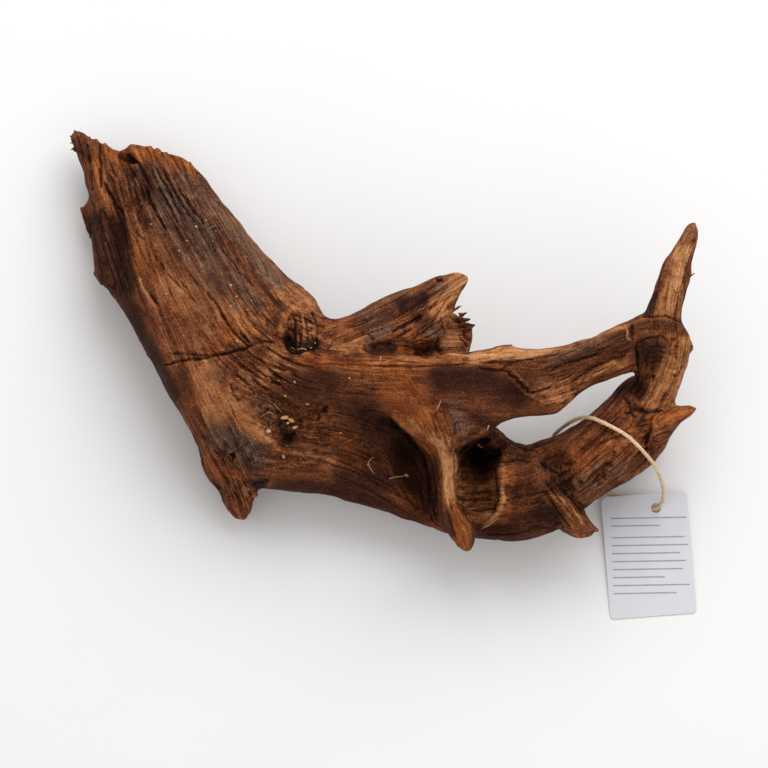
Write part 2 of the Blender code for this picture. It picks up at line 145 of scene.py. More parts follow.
# Prongs left standing, from u v h, to u v h: half width, half thickness at the foot.
PRONGS = table("""
-183 146 26, -189.5 149.7 25.5: 1.9 1.2; -184 147 27, -186.8 153.2 27: 1.8 1.2
-183 144 25, -188.8 141.2 23: 1.6 1.1; -185 146 25, -189.4 145.4 24: 1.3 1
-182 147 28, -182.6 151.6 29: 1.6 1; -178 146 28, -177.6 149.4 29: 1.5 1; -175 89 18, -182.4 105 18: 3.4 1.4
-176 92 19, -181.6 102 19: 3 1.3; -154 139 28, -152.6 144.6 28: 1.8 1.5; 45 41 56, 49.6 42.8 57: 2.2 0.9
46 38 55, 51.8 39 56: 2.4 0.8; 46 35 55, 54.6 35.2 54: 2.6 0.8; 46 32 54, 53 32.4 54: 2.3 0.7
45 28 53, 52.6 27.4 52: 2.6 0.8; 45 24 52, 51.4 23.2 51: 2.5 0.8; 44 21 52, 49.6 19.4 50: 2.2 0.8
39 42 76, 46.4 46.8 77: 0.9 0.5; 119 -84 55, 128.2 -88.3 52: 1.7 1; 117 -86 54, 123 -90.6 52: 1.4 0.9
120 -82 56, 126.4 -85.2 54: 1.1 0.7; 181 64 84, 186 66.4 84: 1.1 0.8; 71 20 91, 76.4 23.6 91: 1.3 0.8
64 -30 64, 62.4 -25.4 66: 1.1 0.7; 68 -31 64, 68.8 -27.4 66: 1.3 0.9; 46 -92 59, 51.8 -99.2 58: 1.8 1.3
-84 -74 18, -85.4 -81.6 14: 2.2 1.6
""")

# Fine slivers, between u v h, u v h, growing along du dv dh: count, length, half width.
SLIVERS = table("""
-185 147 26, -187.3 142 24, -0.75 0.3 0.3: 7 2.6 0.8; -180 144 28, -172 140 30, -0.1 0.6 0.9: 8 2.2 0.7
-148 138 30, -112 127 35, -0.3 0.8 0.6: 26 1.8 0.9; 45 42 56, 50 32 54, 1 0.35 0.3: 4 1.8 0.8
50 34 54, 47 20 52, 1 -0.15 0.3: 4 1.8 0.8; 60 -28 66, 70 -32 64, 0.1 0.8 0.6: 8 1.8 0.7
-58 21 74, -46 20 76, 0.1 0.3 1: 6 1.6 0.6; 148 34 90, 147.5 27 88, -0.8 0 0.6: 5 1.4 0.6
-60 -30 58, -54 -34 58, 0.1 0.3 1: 6 1.8 0.6
""")

# Crumbs of pale debris lodged in the hollows, u v: two sizes, turn in degrees.
CRUMBS = table("""
-59.5 -20.2: 4.6 2.4 5; -55.5 -21.6: 4.4 2.4 -20; -57.5 -23.4: 2.6 1.6 30; -69 -28.2: 3.4 2.6 -10
-53.4 -26: 3.6 1.8 25; -60.2 -43.4: 1.8 3 10; -45.8 -12: 2.8 1.2 -25; -59 -7.2: 2.2 1.2 -10
-53.4 1.2: 1.2 1.8 20; -63 2.2: 1 1.2 0; -26 -29.2: 1.4 1.4 0; -20.6 3.6: 1.4 1.4 0; -50 -45: 0.9 0.7 0
-66 -50: 0.8 0.7 0; -112.8 94.5: 2.2 1.6 -40; -107 98.4: 1.3 1.1 0; -123 80: 1.5 1 -50; -92 59: 1.6 2.2 30
-88.2 52.4: 1.5 1.4 0; -92 46.6: 1.6 1.6 0; -81.4 44.5: 1.1 1.1 0; -87.8 25.6: 1.4 1.9 10
-118.5 86: 1.5 1.1 -40; -101 92: 1 1 0; -79.4 50: 1.1 0.9 0; -140 96: 1.8 0.9 20; -87 3: 1.2 0.8 30
-69 3.6: 1.2 0.8 -30; -97 66: 0.9 0.8 0; -113.6 29.4: 0.8 0.8 0; -120 29: 1 0.8 0; -130.6 54: 1.6 1 30
-72 -44: 0.9 0.7 0; -77 -33: 1 0.8 0; 40 -46: 0.7 0.9 0; -43.6 21.6: 1.3 0.8 20; -41.2 24.6: 0.8 1.5 0
-46.8 20.4: 1.4 0.7 0; 42.5 -55: 0.6 1 0; 6.5 -3: 0.8 0.7 0; -18 9: 1 0.8 0
""")

# Areas of finer specks, u v: reach across, reach up, count.
SPECKS = table("""
-110 82: 26 30 70; -150 112: 16 16 26; -96 52: 20 22 50; -70 0: 16 14 36; -62 -26: 16 14 44
-90 -36: 10 10 18; 10 36: 20 12 26; -30 -42: 26 16 26; 46 -58: 10 18 30; 20 -12: 18 12 30; 110 -50: 30 18 36
110 12: 36 8 22; -8 14: 30 4 26; -50 26: 8 8 24; 60 -27: 8 4 14
""")

# Stray fibres lying on the wood, path of u v: half width, rise above the wood.
STRAYS = table("""
-6.4 -43.6, -9.4 -47.6, -6.2 -53.6: 0.32 0.5; -9.4 -47.6, -10.2 -49.2: 0.25 0.4
3 -57, 6 -55.9, 10 -55.5, 13.4 -54.8: 0.42 0.5; 12.6 -54, 14.6 -55.6: 0.9 0.7
34 -9.6, 33 -12.6, 31.4 -16: 0.3 0.4; 61.6 -27.6, 62.6 -24.6: 0.6 0.6; -2.4 13.6, -1.8 16.6: 0.45 0.5
56 -36, 59 -38.4: 0.3 0.4; -52 20.6, -48.6 21.2, -46 20.4: 0.4 0.4; -55.6 22, -53 20.4: 0.3 0.4
44 -48, 42.6 -56, 44 -62: 0.2 0.3; 69 -80, 64 -84, 58 -87: 0.25 0.3; -66 -12, -61 -17: 0.2 0.4
-74 -20, -69 -17, -66 -18: 0.16 0.4; 144.5 34, 145.6 31, 145 28, 147 26: 0.3 0.4
-106 93, -101 95.5: 0.14 0.3
""")

# Cracks, path of u v: half width, depth.
CRACKS = table("""
-131 11, -125 13, -118 14.5, -108 15.5, -103 17, -96 18, -90 19.5, -82 22, -77 25, -70 25.3,
-66 24.5: 0.95 2.6; -128 18, -118 18, -110 17.3, -103 17: 0.7 1.2
-148 62, -143 57, -139 52, -135 47: 0.9 1.9; -130 66, -124 60, -118 55, -113 49: 0.8 1.6
-106 55, -100 47, -96 40, -90 31, -82 23: 1 2.2; -98 43, -95 38: 1.2 2; -86 31, -81 25: 1.2 2.2
-137 77, -132 69: 0.8 1.5; -122 62, -116 55: 0.8 1.3; -92 75, -86 66, -78 58: 0.8 1.2
-103 92, -96 80, -88 70: 0.8 1.1; -82 20, -74 14, -66 10, -58 8.5: 0.9 1.6
-70 22, -62 16, -52 12, -42 10: 0.9 1.6; -80 12, -72 5, -62 -1: 0.8 1.3; -86 10, -78 3, -70 -3: 0.8 1.2
-76 16, -66 6, -56 0: 0.8 1.3; -90 8, -82 0, -77 -6: 0.8 1; -158.5 140, -157 137, -150 134: 2.1 5
-149 134, -145 128, -142 122: 1.2 3; -142 119, -141 108: 0.9 2.2
-140 129, -135 118, -129 107, -124 97: 0.9 1.7; -137 130, -131 119, -126 109, -120 98: 0.9 1.9
-133 129, -128 120, -121 108, -114 98: 1 2.1; -127 124, -121 114, -113 103, -108 96: 1 2.1
-143 116, -137 103, -131 93: 0.9 1.5; -147 122, -144 110: 0.9 1.4; -150 122, -148 112, -145 104: 0.8 1.2
-154 121, -151 108: 0.8 1.2; -171.5 146, -171 136, -170.5 126, -170 118: 0.9 2.2
-168 121, -164 113, -160 106, -156 99: 1.3 2.5; -164 131, -161 124: 0.8 1.2; -166 127, -162 121: 0.8 1.2
-178 137, -177 126, -176 117: 1.4 1.8; -183 103, -179 96, -176 91: 1.2 2.5; -149 92, -145 87: 0.8 1.6
-176 110, -172 98, -168 86: 0.9 1.4; -92 0, -89 -7, -86 -13: 0.7 0.9; -92 -12, -89 -20: 0.7 0.9
-91 -42, -91 -47: 1.4 2.4; -97 -45, -96 -49: 1.3 2.2; -78 -60.5, -70 -58.5: 2.6 3
-103 -60, -98 -63: 1.2 1.4; -57.5 28, -57 24, -54 21: 1.7 2; -49 21, -44 20.6, -40.6 23, -40.4 29: 1.5 2.8
-53.5 36, -53.8 29, -53 21: 0.8 3; -50.6 33, -50.2 26, -51 20: 0.7 2.2
-59 22, -56 19.6, -51 19, -46 21: 1.3 3.5; -60 38, -54 38.8, -48 37: 0.7 1; -47.4 40, -46 31, -47 22: 0.8 2
-43 43, -41 36: 1 2.6; -44 34, -43 26: 0.8 1.5; -57 27, -54 23: 3 2; -44 18.6, -38 17: 1.2 1.2
-40 12, -10 11, 20 10.6, 48 12: 0.8 1.2; -42 15.5, -20 13.4, 0 14, 20 13: 0.7 0.9; -34 20, -30 27: 0.7 0.8
5 31, 14 36, 22 41: 1.1 2.4; 8 28, 16 33: 1 1.6; 19 37, 22 40: 1.6 1.5; 27 44, 33 52, 38 58: 0.8 1.3
24 30, 32 42, 40 54: 0.7 1; 18 18.3, 25 18, 31 21, 33 26: 1.7 4; 31 63, 35 62: 1.2 1.8
-12 23, -11 20: 1.4 1.6; -10 30, -6 26: 0.9 1; 13 24, 24 31: 0.8 1.2; 40 40, 46 37: 0.9 1.6
47 34, 50 27: 1.2 2.2; 44 35, 49 33: 0.9 1.6; 45 29, 50 22: 0.9 1.4; 34 40, 36 30: 0.8 1
57 10, 64 8, 71 8: 1.3 2; 70 9, 76 12: 0.9 1.3
71 8.6, 75 7.4, 76 4.6, 79 3.8, 79.6 1.2, 82.4 0.6, 82.8 -2.2, 85.4 -2.6, 86 -5: 0.85 2.6
87 -5, 92 -4.6, 97 -3, 101 -0.5: 0.7 1.4; 101 -0.5, 107 3, 114 6.5: 0.5 0.9
100 9, 110 13, 120 15.5, 130 18: 0.8 1.4; 70 12, 85 14.5, 100 17, 115 20: 0.7 1.1
118 1, 126 6.5, 134 10: 0.8 1.1; 112 1, 122 8, 134 14, 144 17: 0.8 1.2; 55 14.5, 63 16: 0.7 0.9
60 12, 70 15, 80 17: 0.7 1; 62 18.5, 72 21: 0.7 0.9; 148.2 35, 148.6 27: 1.2 2.2
151 25, 151.5 16, 152 9: 0.9 2.2; 151 24, 157 27.5, 166 28.5, 169 26: 0.7 1.3; 156 15, 157.5 10: 0.6 1
147 38.3, 156 40.6, 168 40.8, 178 37: 0.8 2; 152 33, 166 33.5: 0.5 0.7; 159 22, 164 22.8, 169 21.5: 0.6 0.8
158 19, 164 19.8, 169.5 18.5: 0.6 0.8; 158 16, 164 16.6, 169.5 15.5: 0.6 0.8
159 13, 164 13.6, 169 12.5: 0.6 0.8; 160 -20, 158.6 -28, 157 -36: 1.6 3.2
149 -15, 157 -17, 166 -16: 1.6 2.2; 128 -36, 138 -32, 147 -29.5: 1 1.6; 72 -47, 80 -46, 88 -46.8: 0.6 0.9
94 -47, 99 -51, 104 -53: 1.1 2; 84 -40, 96 -36.5, 104 -33: 0.8 1; 97 -58, 104 -68, 113 -79: 0.9 1.6
100 -56, 110 -66, 119 -77: 0.9 1.6; 95 -64, 103 -75, 111 -85: 0.9 1.5; 102 -62, 109 -71, 117 -82: 0.8 1.3
66.5 -52, 67.5 -62, 68 -70, 65 -78: 1 1.4; 25.5 -50, 26.5 -60, 26.5 -72: 1 1.8
29 -48, 30.5 -60, 32 -74: 0.7 0.9; 144 -8, 147 -12, 149 -20: 1.2 1.6; 150 -44, 158 -38: 1 1.4
74 -33, 82 -38, 92 -41: 0.8 1; 3 -21, 14 -32, 23 -42.5, 25.6 -52: 1.6 2.6
46 -41, 52 -37.6, 58 -34.6, 63 -33.6: 2 4; 60 -45, 66 -43, 69 -39: 2.2 3
""")

# Low ridges, lips and lumps, path of u v: half width, height.
RIDGES = table("""
42 -38, 50 -34, 56 -30.5, 61 -27.5: 1.3 1.1; 66 -31: 3 1.6; 6 -18, 17 -29, 27.5 -40: 1.6 1.3
76 3.4, 80 -1, 85 -6, 89 -7.4: 1.1 1; 143.5 35.5, 145.5 31, 146.6 26.5: 0.9 1
68.5 -49, 70 -58, 71.5 -68, 68 -79, 60 -86: 1.3 1.3; -60 41, -54 44.5, -46 44: 2 1
-52 40, -50.5 31, -51 24: 1.2 1.3; -60 38, -60.5 31: 2.2 1.3; -42.4 40, -41.6 32, -42 25: 0.8 1.5
-48.6 41, -47.2 32, -48 24: 1.1 1; -55 38, -53.6 31: 1 1.2; -62 34, -62 25, -57 18: 1.6 0.8
-170 118, -166 108, -161 98: 2 1; -147 62, -140 50, -134 38: 1.5 1; -77 -65: 2.6 1.2
-152 142, -150 139: 2.2 1.6; -145 141, -137 139: 3 1; -98 -54.5, -88 -55.5: 1.2 0.7
34 -10, 32.5 -13, 31 -16: 0.6 0.5; -72 -30, -62 -40, -50 -42, -30 -46: 2 0.8; 155 8, 163 6: 1.4 0.8
-155 105, -153 95, -151 88: 1.2 0.9; 98 -50, 99 -57: 1.2 0.9
""")

# Pits, u v: radius, depth.
PITS = table("""
-57 -33: 2.6 4.5; -60 -28.5: 1.8 2.5; -35.5 -15: 1.8 2.4; -39 -20: 1.4 2; -68 -24: 1.5 1.4; -64 -17: 1.7 1.4
-91 -43: 1.8 1.8; -83 -36: 1.2 1.2; -88 -36: 1.1 1.1; -79 -44: 1.2 1.2; -74 -12: 1 1.2; -78 -6: 0.9 1
-70 -16: 1.1 1.3; -66 -10: 0.9 1; -62 -25: 1.4 2; -54 -31: 1.5 2.4; -50 -22: 1.2 1.6; -84 -1: 0.8 0.9
173 27: 1.2 1.3; 174.5 22: 1.1 1.2; 175 15: 1.2 1.3; 172.5 9: 1.2 1.3; 174 4: 1.1 1.2; 176 -2: 1 1
171 18: 0.9 1; 178 10: 0.9 1; 185.5 86: 1 1.2; 180.5 54: 0.8 0.8; 146 -17: 1.4 1.8; 136 -48: 1.3 1.4
128 -60: 1.2 1.4; 118 -58: 1.2 1.4; 124 -50: 1 1.2; 132 -56: 1 1.2; 138 -41: 1 1.2; 110 -48: 1.2 1.2
-5 22: 1.2 1.4; 3 24: 1.1 1.2; 12 33: 1.2 1.4; 48 -63: 1.3 1.4; -153 82: 1.4 1.4; -151 78: 1.1 1.2
""")

# Soft patches of each tint, path of u v: radius, strength.
TINTS = {
    # Orange wood, and painted highlight on the crests and the web's rim that face the light.
    "orange_and_highlight": table("""
-165 141, -150 139, -135 137, -118 130: 6 0.9; -172 128, -166 139: 7 0.45
-140 76, -124 62, -106 48, -95 36: 14 0.8; -45 14, 0 13, 40 15: 4 0.9; 2 -8, 12 -18, 22 -28, 31 -37: 5.5 1.5
8 2, 20 -13, 31 -26: 9.5 1; -6 18, 8 20: 6 0.9; 74 -79, 86 -78: 8 0.5; 136 -44, 148 -36: 7 0.6
-28 36, -20 25: 8 0.7; 14 0, 18 -8: 10 0.45; 8 26, 18 22: 6 0.6; -35 -30, -25 -38: 8 0.5
-98 -54, -87 -55.5: 2.8 1.3; -90 -62, -86 -74: 4 0.5; 120 -42, 135 -38: 9 0.8; 80 -76: 5 0.5
72 -52, 76 -58: 3.5 0.9; 160 -22, 182 -16: 4 0.8; 150 -26: 4 0.7; -86 -79: 3 0.7; 146 14, 134 12: 5 0.4
42 -76, 48 -94: 4 0.9; 176 26, 177 10: 5 0.6; 100 -4, 104 -12: 5 0.5; -104 -44, -100 -54: 4 0.5
"""),
    # Tan wood, and partly painted highlight on the septum crest, lips and faces that face the light.
    "tan": table("""
-107 6, -102 -8, -98 -22: 9 0.95; -98 -10, -86 -18, -74 -30: 7 0.9; -84 6, -78 -4: 5 0.4
-62 20, -66 14, -72 4: 5 0.7; -62 36, -61 31: 3 0.5; -124 34, -112 28: 8 0.5; -126 24, -114 16: 7 0.4
-124 122, -116 116: 5 0.4; -50 44, -46 34, -42 26: 3 0.6; -96 -18, -104 -22: 6 0.5; -44 -38, -36 -42: 8 0.6
36 42, 44 36: 5 0.8; 38 24, 44 18: 5 0.9; -64 54, -50 50, -42 48: 6 0.6; -76 76, -60 58: 4 0.5
34 -34, 38 -44, 39 -56, 40 -66: 5.2 0.95; 136 -38, 146 -34: 5 0.5; -128 58, -118 46, -106 38: 11 0.55
-86 42, -74 36: 8 0.4; 52 15, 70 19, 90 18, 110 20: 4.5 0.7; 38 28, 40 22: 6 0.9
168 45, 173 65, 180 82: 8 0.5; 163 -8, 168 2, 172 12: 7 0.8; 96 -4, 108 -6: 7 0.6
118 -1, 128 7, 138 11: 4 0.5; 32 46, 46 63: 5 0.8; -30 24, -22 22: 5 0.6; 118 25, 132 31, 144 36: 3 0.6
179 24, 177 8, 174 -10: 5 0.6; -45 -38, -32 -42: 7 0.35; 46 16, -10 14: 2.5 0.45
104 -66, 114 -78, 124 -86: 3 0.5; 16 -22, 29 -34: 2.6 0.6; 70 -48, 72 -58, 71.5 -68, 66 -80: 1.8 0.8
-14 25, -28 30: 6 0.5; 54 -77, 64 -81: 6 0.5; -87 -60, -81 -66: 4 0.4
"""),
    # Pale wood, and partly painted highlight on the lit crests and on the strip along the slab's right
    # edge.
    "pale": table("""
54 15, 70 19, 84 18.5, 98 20: 3.2 0.9; 171 48, 175 62, 180 80: 3.6 0.5; 34 -36, 38 -52, 40 -68: 2.8 0.85
100 -7, 110 -5: 3 0.35; 166 -4, 171 6: 3.5 0.45; 142 34, 146 30: 1.6 0.6; 44 58, 47 62: 2 0.5
76 9, 81 3, 86 -1: 1.2 0.5; -147 62, -142 54: 1.6 0.5; 37 25, 43 19: 4 0.35; 38 44, 44 40: 4 0.3
-104 108, -82 86, -66 66: 4.5 0.6
"""),
    "red": table("""
-140 40, -118 30: 14 0.5; -178 130, -176 118: 3 0.8; -168 90, -160 60: 8 0.6; -103 -38, -95 -60: 6 0.4
-40 -48, -10 -55: 8 0.4; -38 -2, -46 3: 8 0.5; -88 -70: 6 0.5; 85 12, 100 8: 6 0.4
120 -86, 126 -88: 3.5 0.6; 60 2, 75 -6: 9 0.4; 47 38, 51 28: 4 0.9; -186 145: 4 0.8; 85 -60: 9 0.4
"""),
    "grey": table("""
-122 124, -104 108, -84 86, -66 64: 7 0.6; 42 -15, 45 -27: 5.5 0.6; 117 -60, 127 -62: 7 0.5
-125 88, -100 60: 22 0.44; -138 122, -122 102, -108 88: 10 0.75; -106 82, -96 68, -90 60: 4 0.7
-86 57, -78 50: 5 0.6; -112 78, -118 84: 7 0.4; -98 -32, -88 -36, -76 -43: 8.5 0.85
-8 40, 0 34, -6 28: 7 0.5; 8 46, 22 51: 5 0.6; 28 55, 34 58: 4 0.5; 26 34, 32 30: 5 0.6
100 16, 120 20, 140 27: 4 0.6; -70 -20, -75 -8: 6 0.4; 128 -52, 140 -50: 6 0.5; 183 88, 187 97: 4 0.4
-101 8, -97 2: 4 0.5
"""),
    # Dark stains, and painted shade: under the arm's end and the web, in the bowl, pockets and clefts, and
    # on the slab's left side that faces away from the light.
    "stain_and_shade": table("""
-185 146, -180 137: 5 0.55; -80 -58, -77 -60: 2.6 0.8; -103 -60, -99 -66: 3 0.6; 37 -78, 42 -90: 2.6 0.7
-144 76, -141 58: 6 0.35; -84 -46, -76 -50: 4 0.5; 11 46.5, 22 50: 4 1.2; -171 94, -164 78, -159 60: 9 1.2
-158 56, -149 38, -138 16, -126 -6: 5 0.8; -157 98, -154 80, -152 66: 4 0.7; -144 127, -141 116: 6 0.7
-122 6, -117 -8: 5 0.5; -60 -22, -57 -33: 5 0.7; -38 -17: 4 0.6; -47 -2, -33 0: 10 0.6
-48 -20, -40 -10: 7 0.35; -12 -18, 0 -32, 12 -46, 18 -60: 12 0.6
0 -25, 10 -35, 20 -45, 25 -56, 27 -70: 4.5 1.4; -62 -61, -30 -65, 0 -72, 28 -90: 5 0.8
36 4, 60 1, 78 -6: 9.5 0.8; 47 -41, 54 -38, 62 -36, 68 -37: 3.6 1.7; 50 -45, 64 -46: 4.5 1.6
100 -78, 85 -86, 60 -92: 8 0.8; 96 -48, 100 -54: 3.5 0.6; 148 34, 160 36, 174 36: 4 0.5; 158 18: 9 0.85
158 43, 162 54: 2.5 0.8; 140 -5, 152 -3: 5 0.7; 150 -13, 154 -16: 2.5 0.8; -58 27, -56 22: 3 1
-57 22, -51 21.5, -44 22, -40 25: 2.6 1; -183 100: 3 0.9; -74 -61: 3 0.9; 20 19, 32 20: 2.2 0.35
112 15, 145 21: 4 0.45; -160 118, -152 108: 5 0.35; 100 4, 85 6: 4 0.3; -102 64, -97 56: 5 0.4
92 -34, 108 -36: 4 0.3; 112 -68, 122 -76: 3 0.5; 66 -32: 3.5 1; 0 -58, -22 -58: 9 0.7
98 -60, 108 -62: 6 0.6; 80 -82, 90 -84: 7 0.8; 8 27, 14 24: 4 0.5; 4 22, -6 21: 4.5 0.8
56 -20, 64 -24: 5 0.7; 40 -80, 38 -88: 4 0.6; 20 42, 24 37: 5 0.5; -62 -18, -54 -20: 4 0.6
-62 -24, -54 -31, -57 -34: 3 0.8
"""),
}

# Noise levels at which each tint starts and is full on the sides that aren't seen.
HIDDEN = {"orange_and_highlight": (0.1, 0.6), "tan": (0.1, 0.5), "pale": (2, 3),
          "red": (0.05, 0.5), "grey": (0.05, 0.45), "stain_and_shade": (0.2, 0.6)}
# The wood's colours from shade to light: place, red, green and blue. All but the grey are warmed.
WARMTH = (1.055, 0.995, 0.92)
WOODS = {
    "brown": ((0.0, 28, 13, 8), (0.33, 68, 37, 22), (0.62, 112, 67, 42), (1.0, 172, 114, 74)),
    # Colours of the orange wood and of the painted highlight on the lit crests.
    "orange_and_highlight": ((0.0, 52, 24, 11), (0.45, 116, 64, 33), (1.0, 184, 116, 66)),
    "tan": ((0.0, 72, 40, 23), (0.4, 134, 86, 54), (1.0, 204, 150, 104)),
    "pale": ((0.0, 112, 72, 46), (0.45, 170, 120, 82), (1.0, 226, 180, 136)),
    "red": ((0.0, 44, 18, 12), (0.5, 104, 58, 41), (1.0, 156, 100, 72)),
    "grey": ((0.0, 31, 20, 16), (0.5, 92, 65, 52), (1.0, 154, 119, 97)),
    # Colours of the dark stains and of the painted shade.
    "stain_and_shade": ((0.0, 12, 6, 4), (0.5, 47, 24, 16), (1.0, 96, 57, 39)),
}

# Where the fibre relief is livelier or calmer, path of u v: radius, added strength.
CALM = table("""
34 2, 55 -6, 82 -10: 13 -0.7; -40 0, -28 -2: 9 -0.25; -150 48, -118 -16: 9 -0.4
-70 -60, -30 -66, 20 -84: 7 -0.8; -108 -6: 14 -0.75; 170 48, 184 92: 9 -0.35; 80 -80: 12 -0.4
8 -45: 14 -0.4; -138 124, -116 96: 18 0.4; -78 8, -60 2: 12 0.4; -90 -40: 11 0.6; -92 -56, -86 -74: 9 0.8
104 -66, 118 -80: 9 0.5; 48 30: 7 0.7; -182 146: 8 0.7; -60 -22: 12 0.6; 20 -30, 34 -44: 6 -0.4
130 -50: 12 0.3
""")

# Close parallel grooves along the fibres, path of u v: radius, strength.
COMBED = table("""
-140 124, -124 104, -108 86: 13 1; -160 122, -150 104: 9 0.35; -84 12, -66 2: 9 0.9
-126 74, -100 44: 14 0.3; -100 92, -80 66: 8 0.25; 106 -64, 118 -80: 7 0.8; 90 8, 140 22: 8 0.5
10 34, 30 44: 7 0.4; 160 18: 9 0.5; 44 30: 7 0.8; -20 -34, 0 -44: 12 0.5; -44 30: 6 0.8
""")

# Rough, crumbled ground, path of u v: radius, strength.
ROUGH = table("""
-66 -24, -56 -24, -40 -18: 9 1.5; -86 -4, -74 -14, -68 -28: 8 0.8; -92 -38, -84 -44: 9 1.3
158 -22, 150 -14: 7 1.2; 174 24, 175 8: 5 1.1; 6 26, 26 28: 8 1; 66 -31: 5 1.6; 100 -50, 118 -60: 8 1.1
130 -50, 146 -40: 10 0.8; 56 -66: 9 0.9; -186 146: 6 1; -52 26: 8 0.8; -172 112, -160 90: 8 0.7
-98 10, -92 0: 8 0.9; -40 -30, -20 -36: 10 0.6
""")


# Frames, curves and noise

def lean(u, v, h):
    """View frame (u, v, floor height) in mm to the row frame in metres."""
    w = (h - v * SIN) / COS
    laid = np.array((u, v * COS - w * SIN, h))
    return Vector((laid - ORIGIN) * MM)


def from_view(u, v, w):
    """View axes in mm to the row frame in metres."""
    return Vector((np.array((u, COS * v - SIN * w, SIN * v + COS * w)) - ORIGIN) * MM)


def turn_view(n):
    """Row frame directions (n, 3) to view axes."""
    return np.stack([n[:, 0], COS * n[:, 1] + SIN * n[:, 2], COS * n[:, 2] - SIN * n[:, 1]], axis=1)


def to_view(p):
    """Row frame metres (n, 3) to view axes in mm (u, v, towards the viewer)."""
    return turn_view(np.asarray(p) / MM + ORIGIN)


RIGHT = (from_view(1, 0, 0) - from_view(0, 0, 0)).normalized()
DOWN = (from_view(0, 0, -1) - from_view(0, 0, 0)).normalized()  # away from the viewer


def spline(rows, t):
    """Catmull-Rom point at t (0 to 1 along the rows)."""
    rows = np.asarray(rows, float)
    x = t * (len(rows) - 1)
    i = min(int(x), len(rows) - 2)
    f = x - i
    p1, p2 = rows[i], rows[i + 1]
    p0 = rows[i - 1] if i else 2 * p1 - p2
    p3 = rows[i + 2] if i + 2 < len(rows) else 2 * p2 - p1
    return 0.5 * (2 * p1 + (p2 - p0) * f + (2 * p0 - 5 * p1 + 4 * p2 - p3) * f**2
                  + (3 * p1 - p0 - 3 * p2 + p3) * f**3)


def curve(rows, steps):
    """The spline through the rows, in so many steps."""
    return [spline(rows, i / steps) for i in range(steps + 1)]


def lattice(p, seed):
    """Smooth lattice noise, -1 to 1, at the points p (n, 3)."""
    base = np.floor(p).astype(np.int64)
    f = p - base
    f = f * f * (3 - 2 * f)
    out = np.zeros(len(p))
    for corner in range(8):
        o = [(corner >> k) & 1 for k in range(3)]
        q = base + np.array(o)
        h = (q[:, 0] * 73856093) ^ (q[:, 1] * 19349663) ^ (q[:, 2] * 83492791) ^ (seed * 7919 + 17)
        h = ((h ^ (h >> 13)) * 1274126177) & 0xFFFFFFFF
        h = ((h ^ (h >> 15)) * 2246822519) & 0xFFFFFFFF
        h = (h ^ (h >> 16)) & 0xFFFF
        w = np.ones(len(p))
        for k in range(3):
            w *= f[:, k] if o[k] else 1 - f[:, k]
        out += w * (h / 32767.5 - 1)
    return out


def layered(p, seed, octaves=3):
    """Lattice noise in several octaves, -1 to 1."""
    total, size, out = 0, 1.0, 0
    for k in range(octaves):
        out = out + size * lattice(p * 2.03**k + 11.7 * k, seed + k)
        total += size
        size *= 0.5
    return out / total


def smooth(x, low, high):
    """0 below low, 1 above high, and a soft step between."""
    t = np.clip((x - low) / (high - low), 0, 1)
    return t * t * (3 - 2 * t)


def distance(p, path):
    """Distance of the (u, v) points p from a path, and how far along it (0 to 1)."""
    path = np.asarray(path, float)
    if len(path) == 1:
        return np.linalg.norm(p - path[0], axis=1), np.full(len(p), 0.5)
    best, place = np.full(len(p), FAR), np.zeros(len(p))
    steps = np.linalg.norm(np.diff(path, axis=0), axis=1)
    run = 0.0
    for a, b, step in zip(path, path[1:], steps):
        t = np.clip(((p - a) @ (b - a)) / step**2, 0, 1)
        d = np.linalg.norm(p - a - t[:, None] * (b - a), axis=1)
        hit = d < best
        best[hit], place[hit] = d[hit], (run + t[hit] * step) / steps.sum()
        run += step
    return best, place


def dab(view, path, radius, power=2.0, taper=0.0):
    """1 on the path, fading to 0 at about 1.6 radius; only points near are measured."""
    path = np.asarray(path, float)
    lo, hi = path.min(axis=0) - 2.2 * radius, path.max(axis=0) + 2.2 * radius
    near = np.flatnonzero(((view[:, :2] > lo) & (view[:, :2] < hi)).all(axis=1))
    out = np.zeros(len(view))
    if len(near):
        far, place = distance(view[near, :2], path)
        size = radius * (1 - taper + taper * np.sin(np.pi * place) ** 0.7)
        out[near] = np.exp(-((far / size) ** power))
    return out


def add_up(view, rows):
    """The sum of a table's dabs, each by its strength."""
    return sum(strength * dab(view, path, radius) for path, radius, strength in rows)


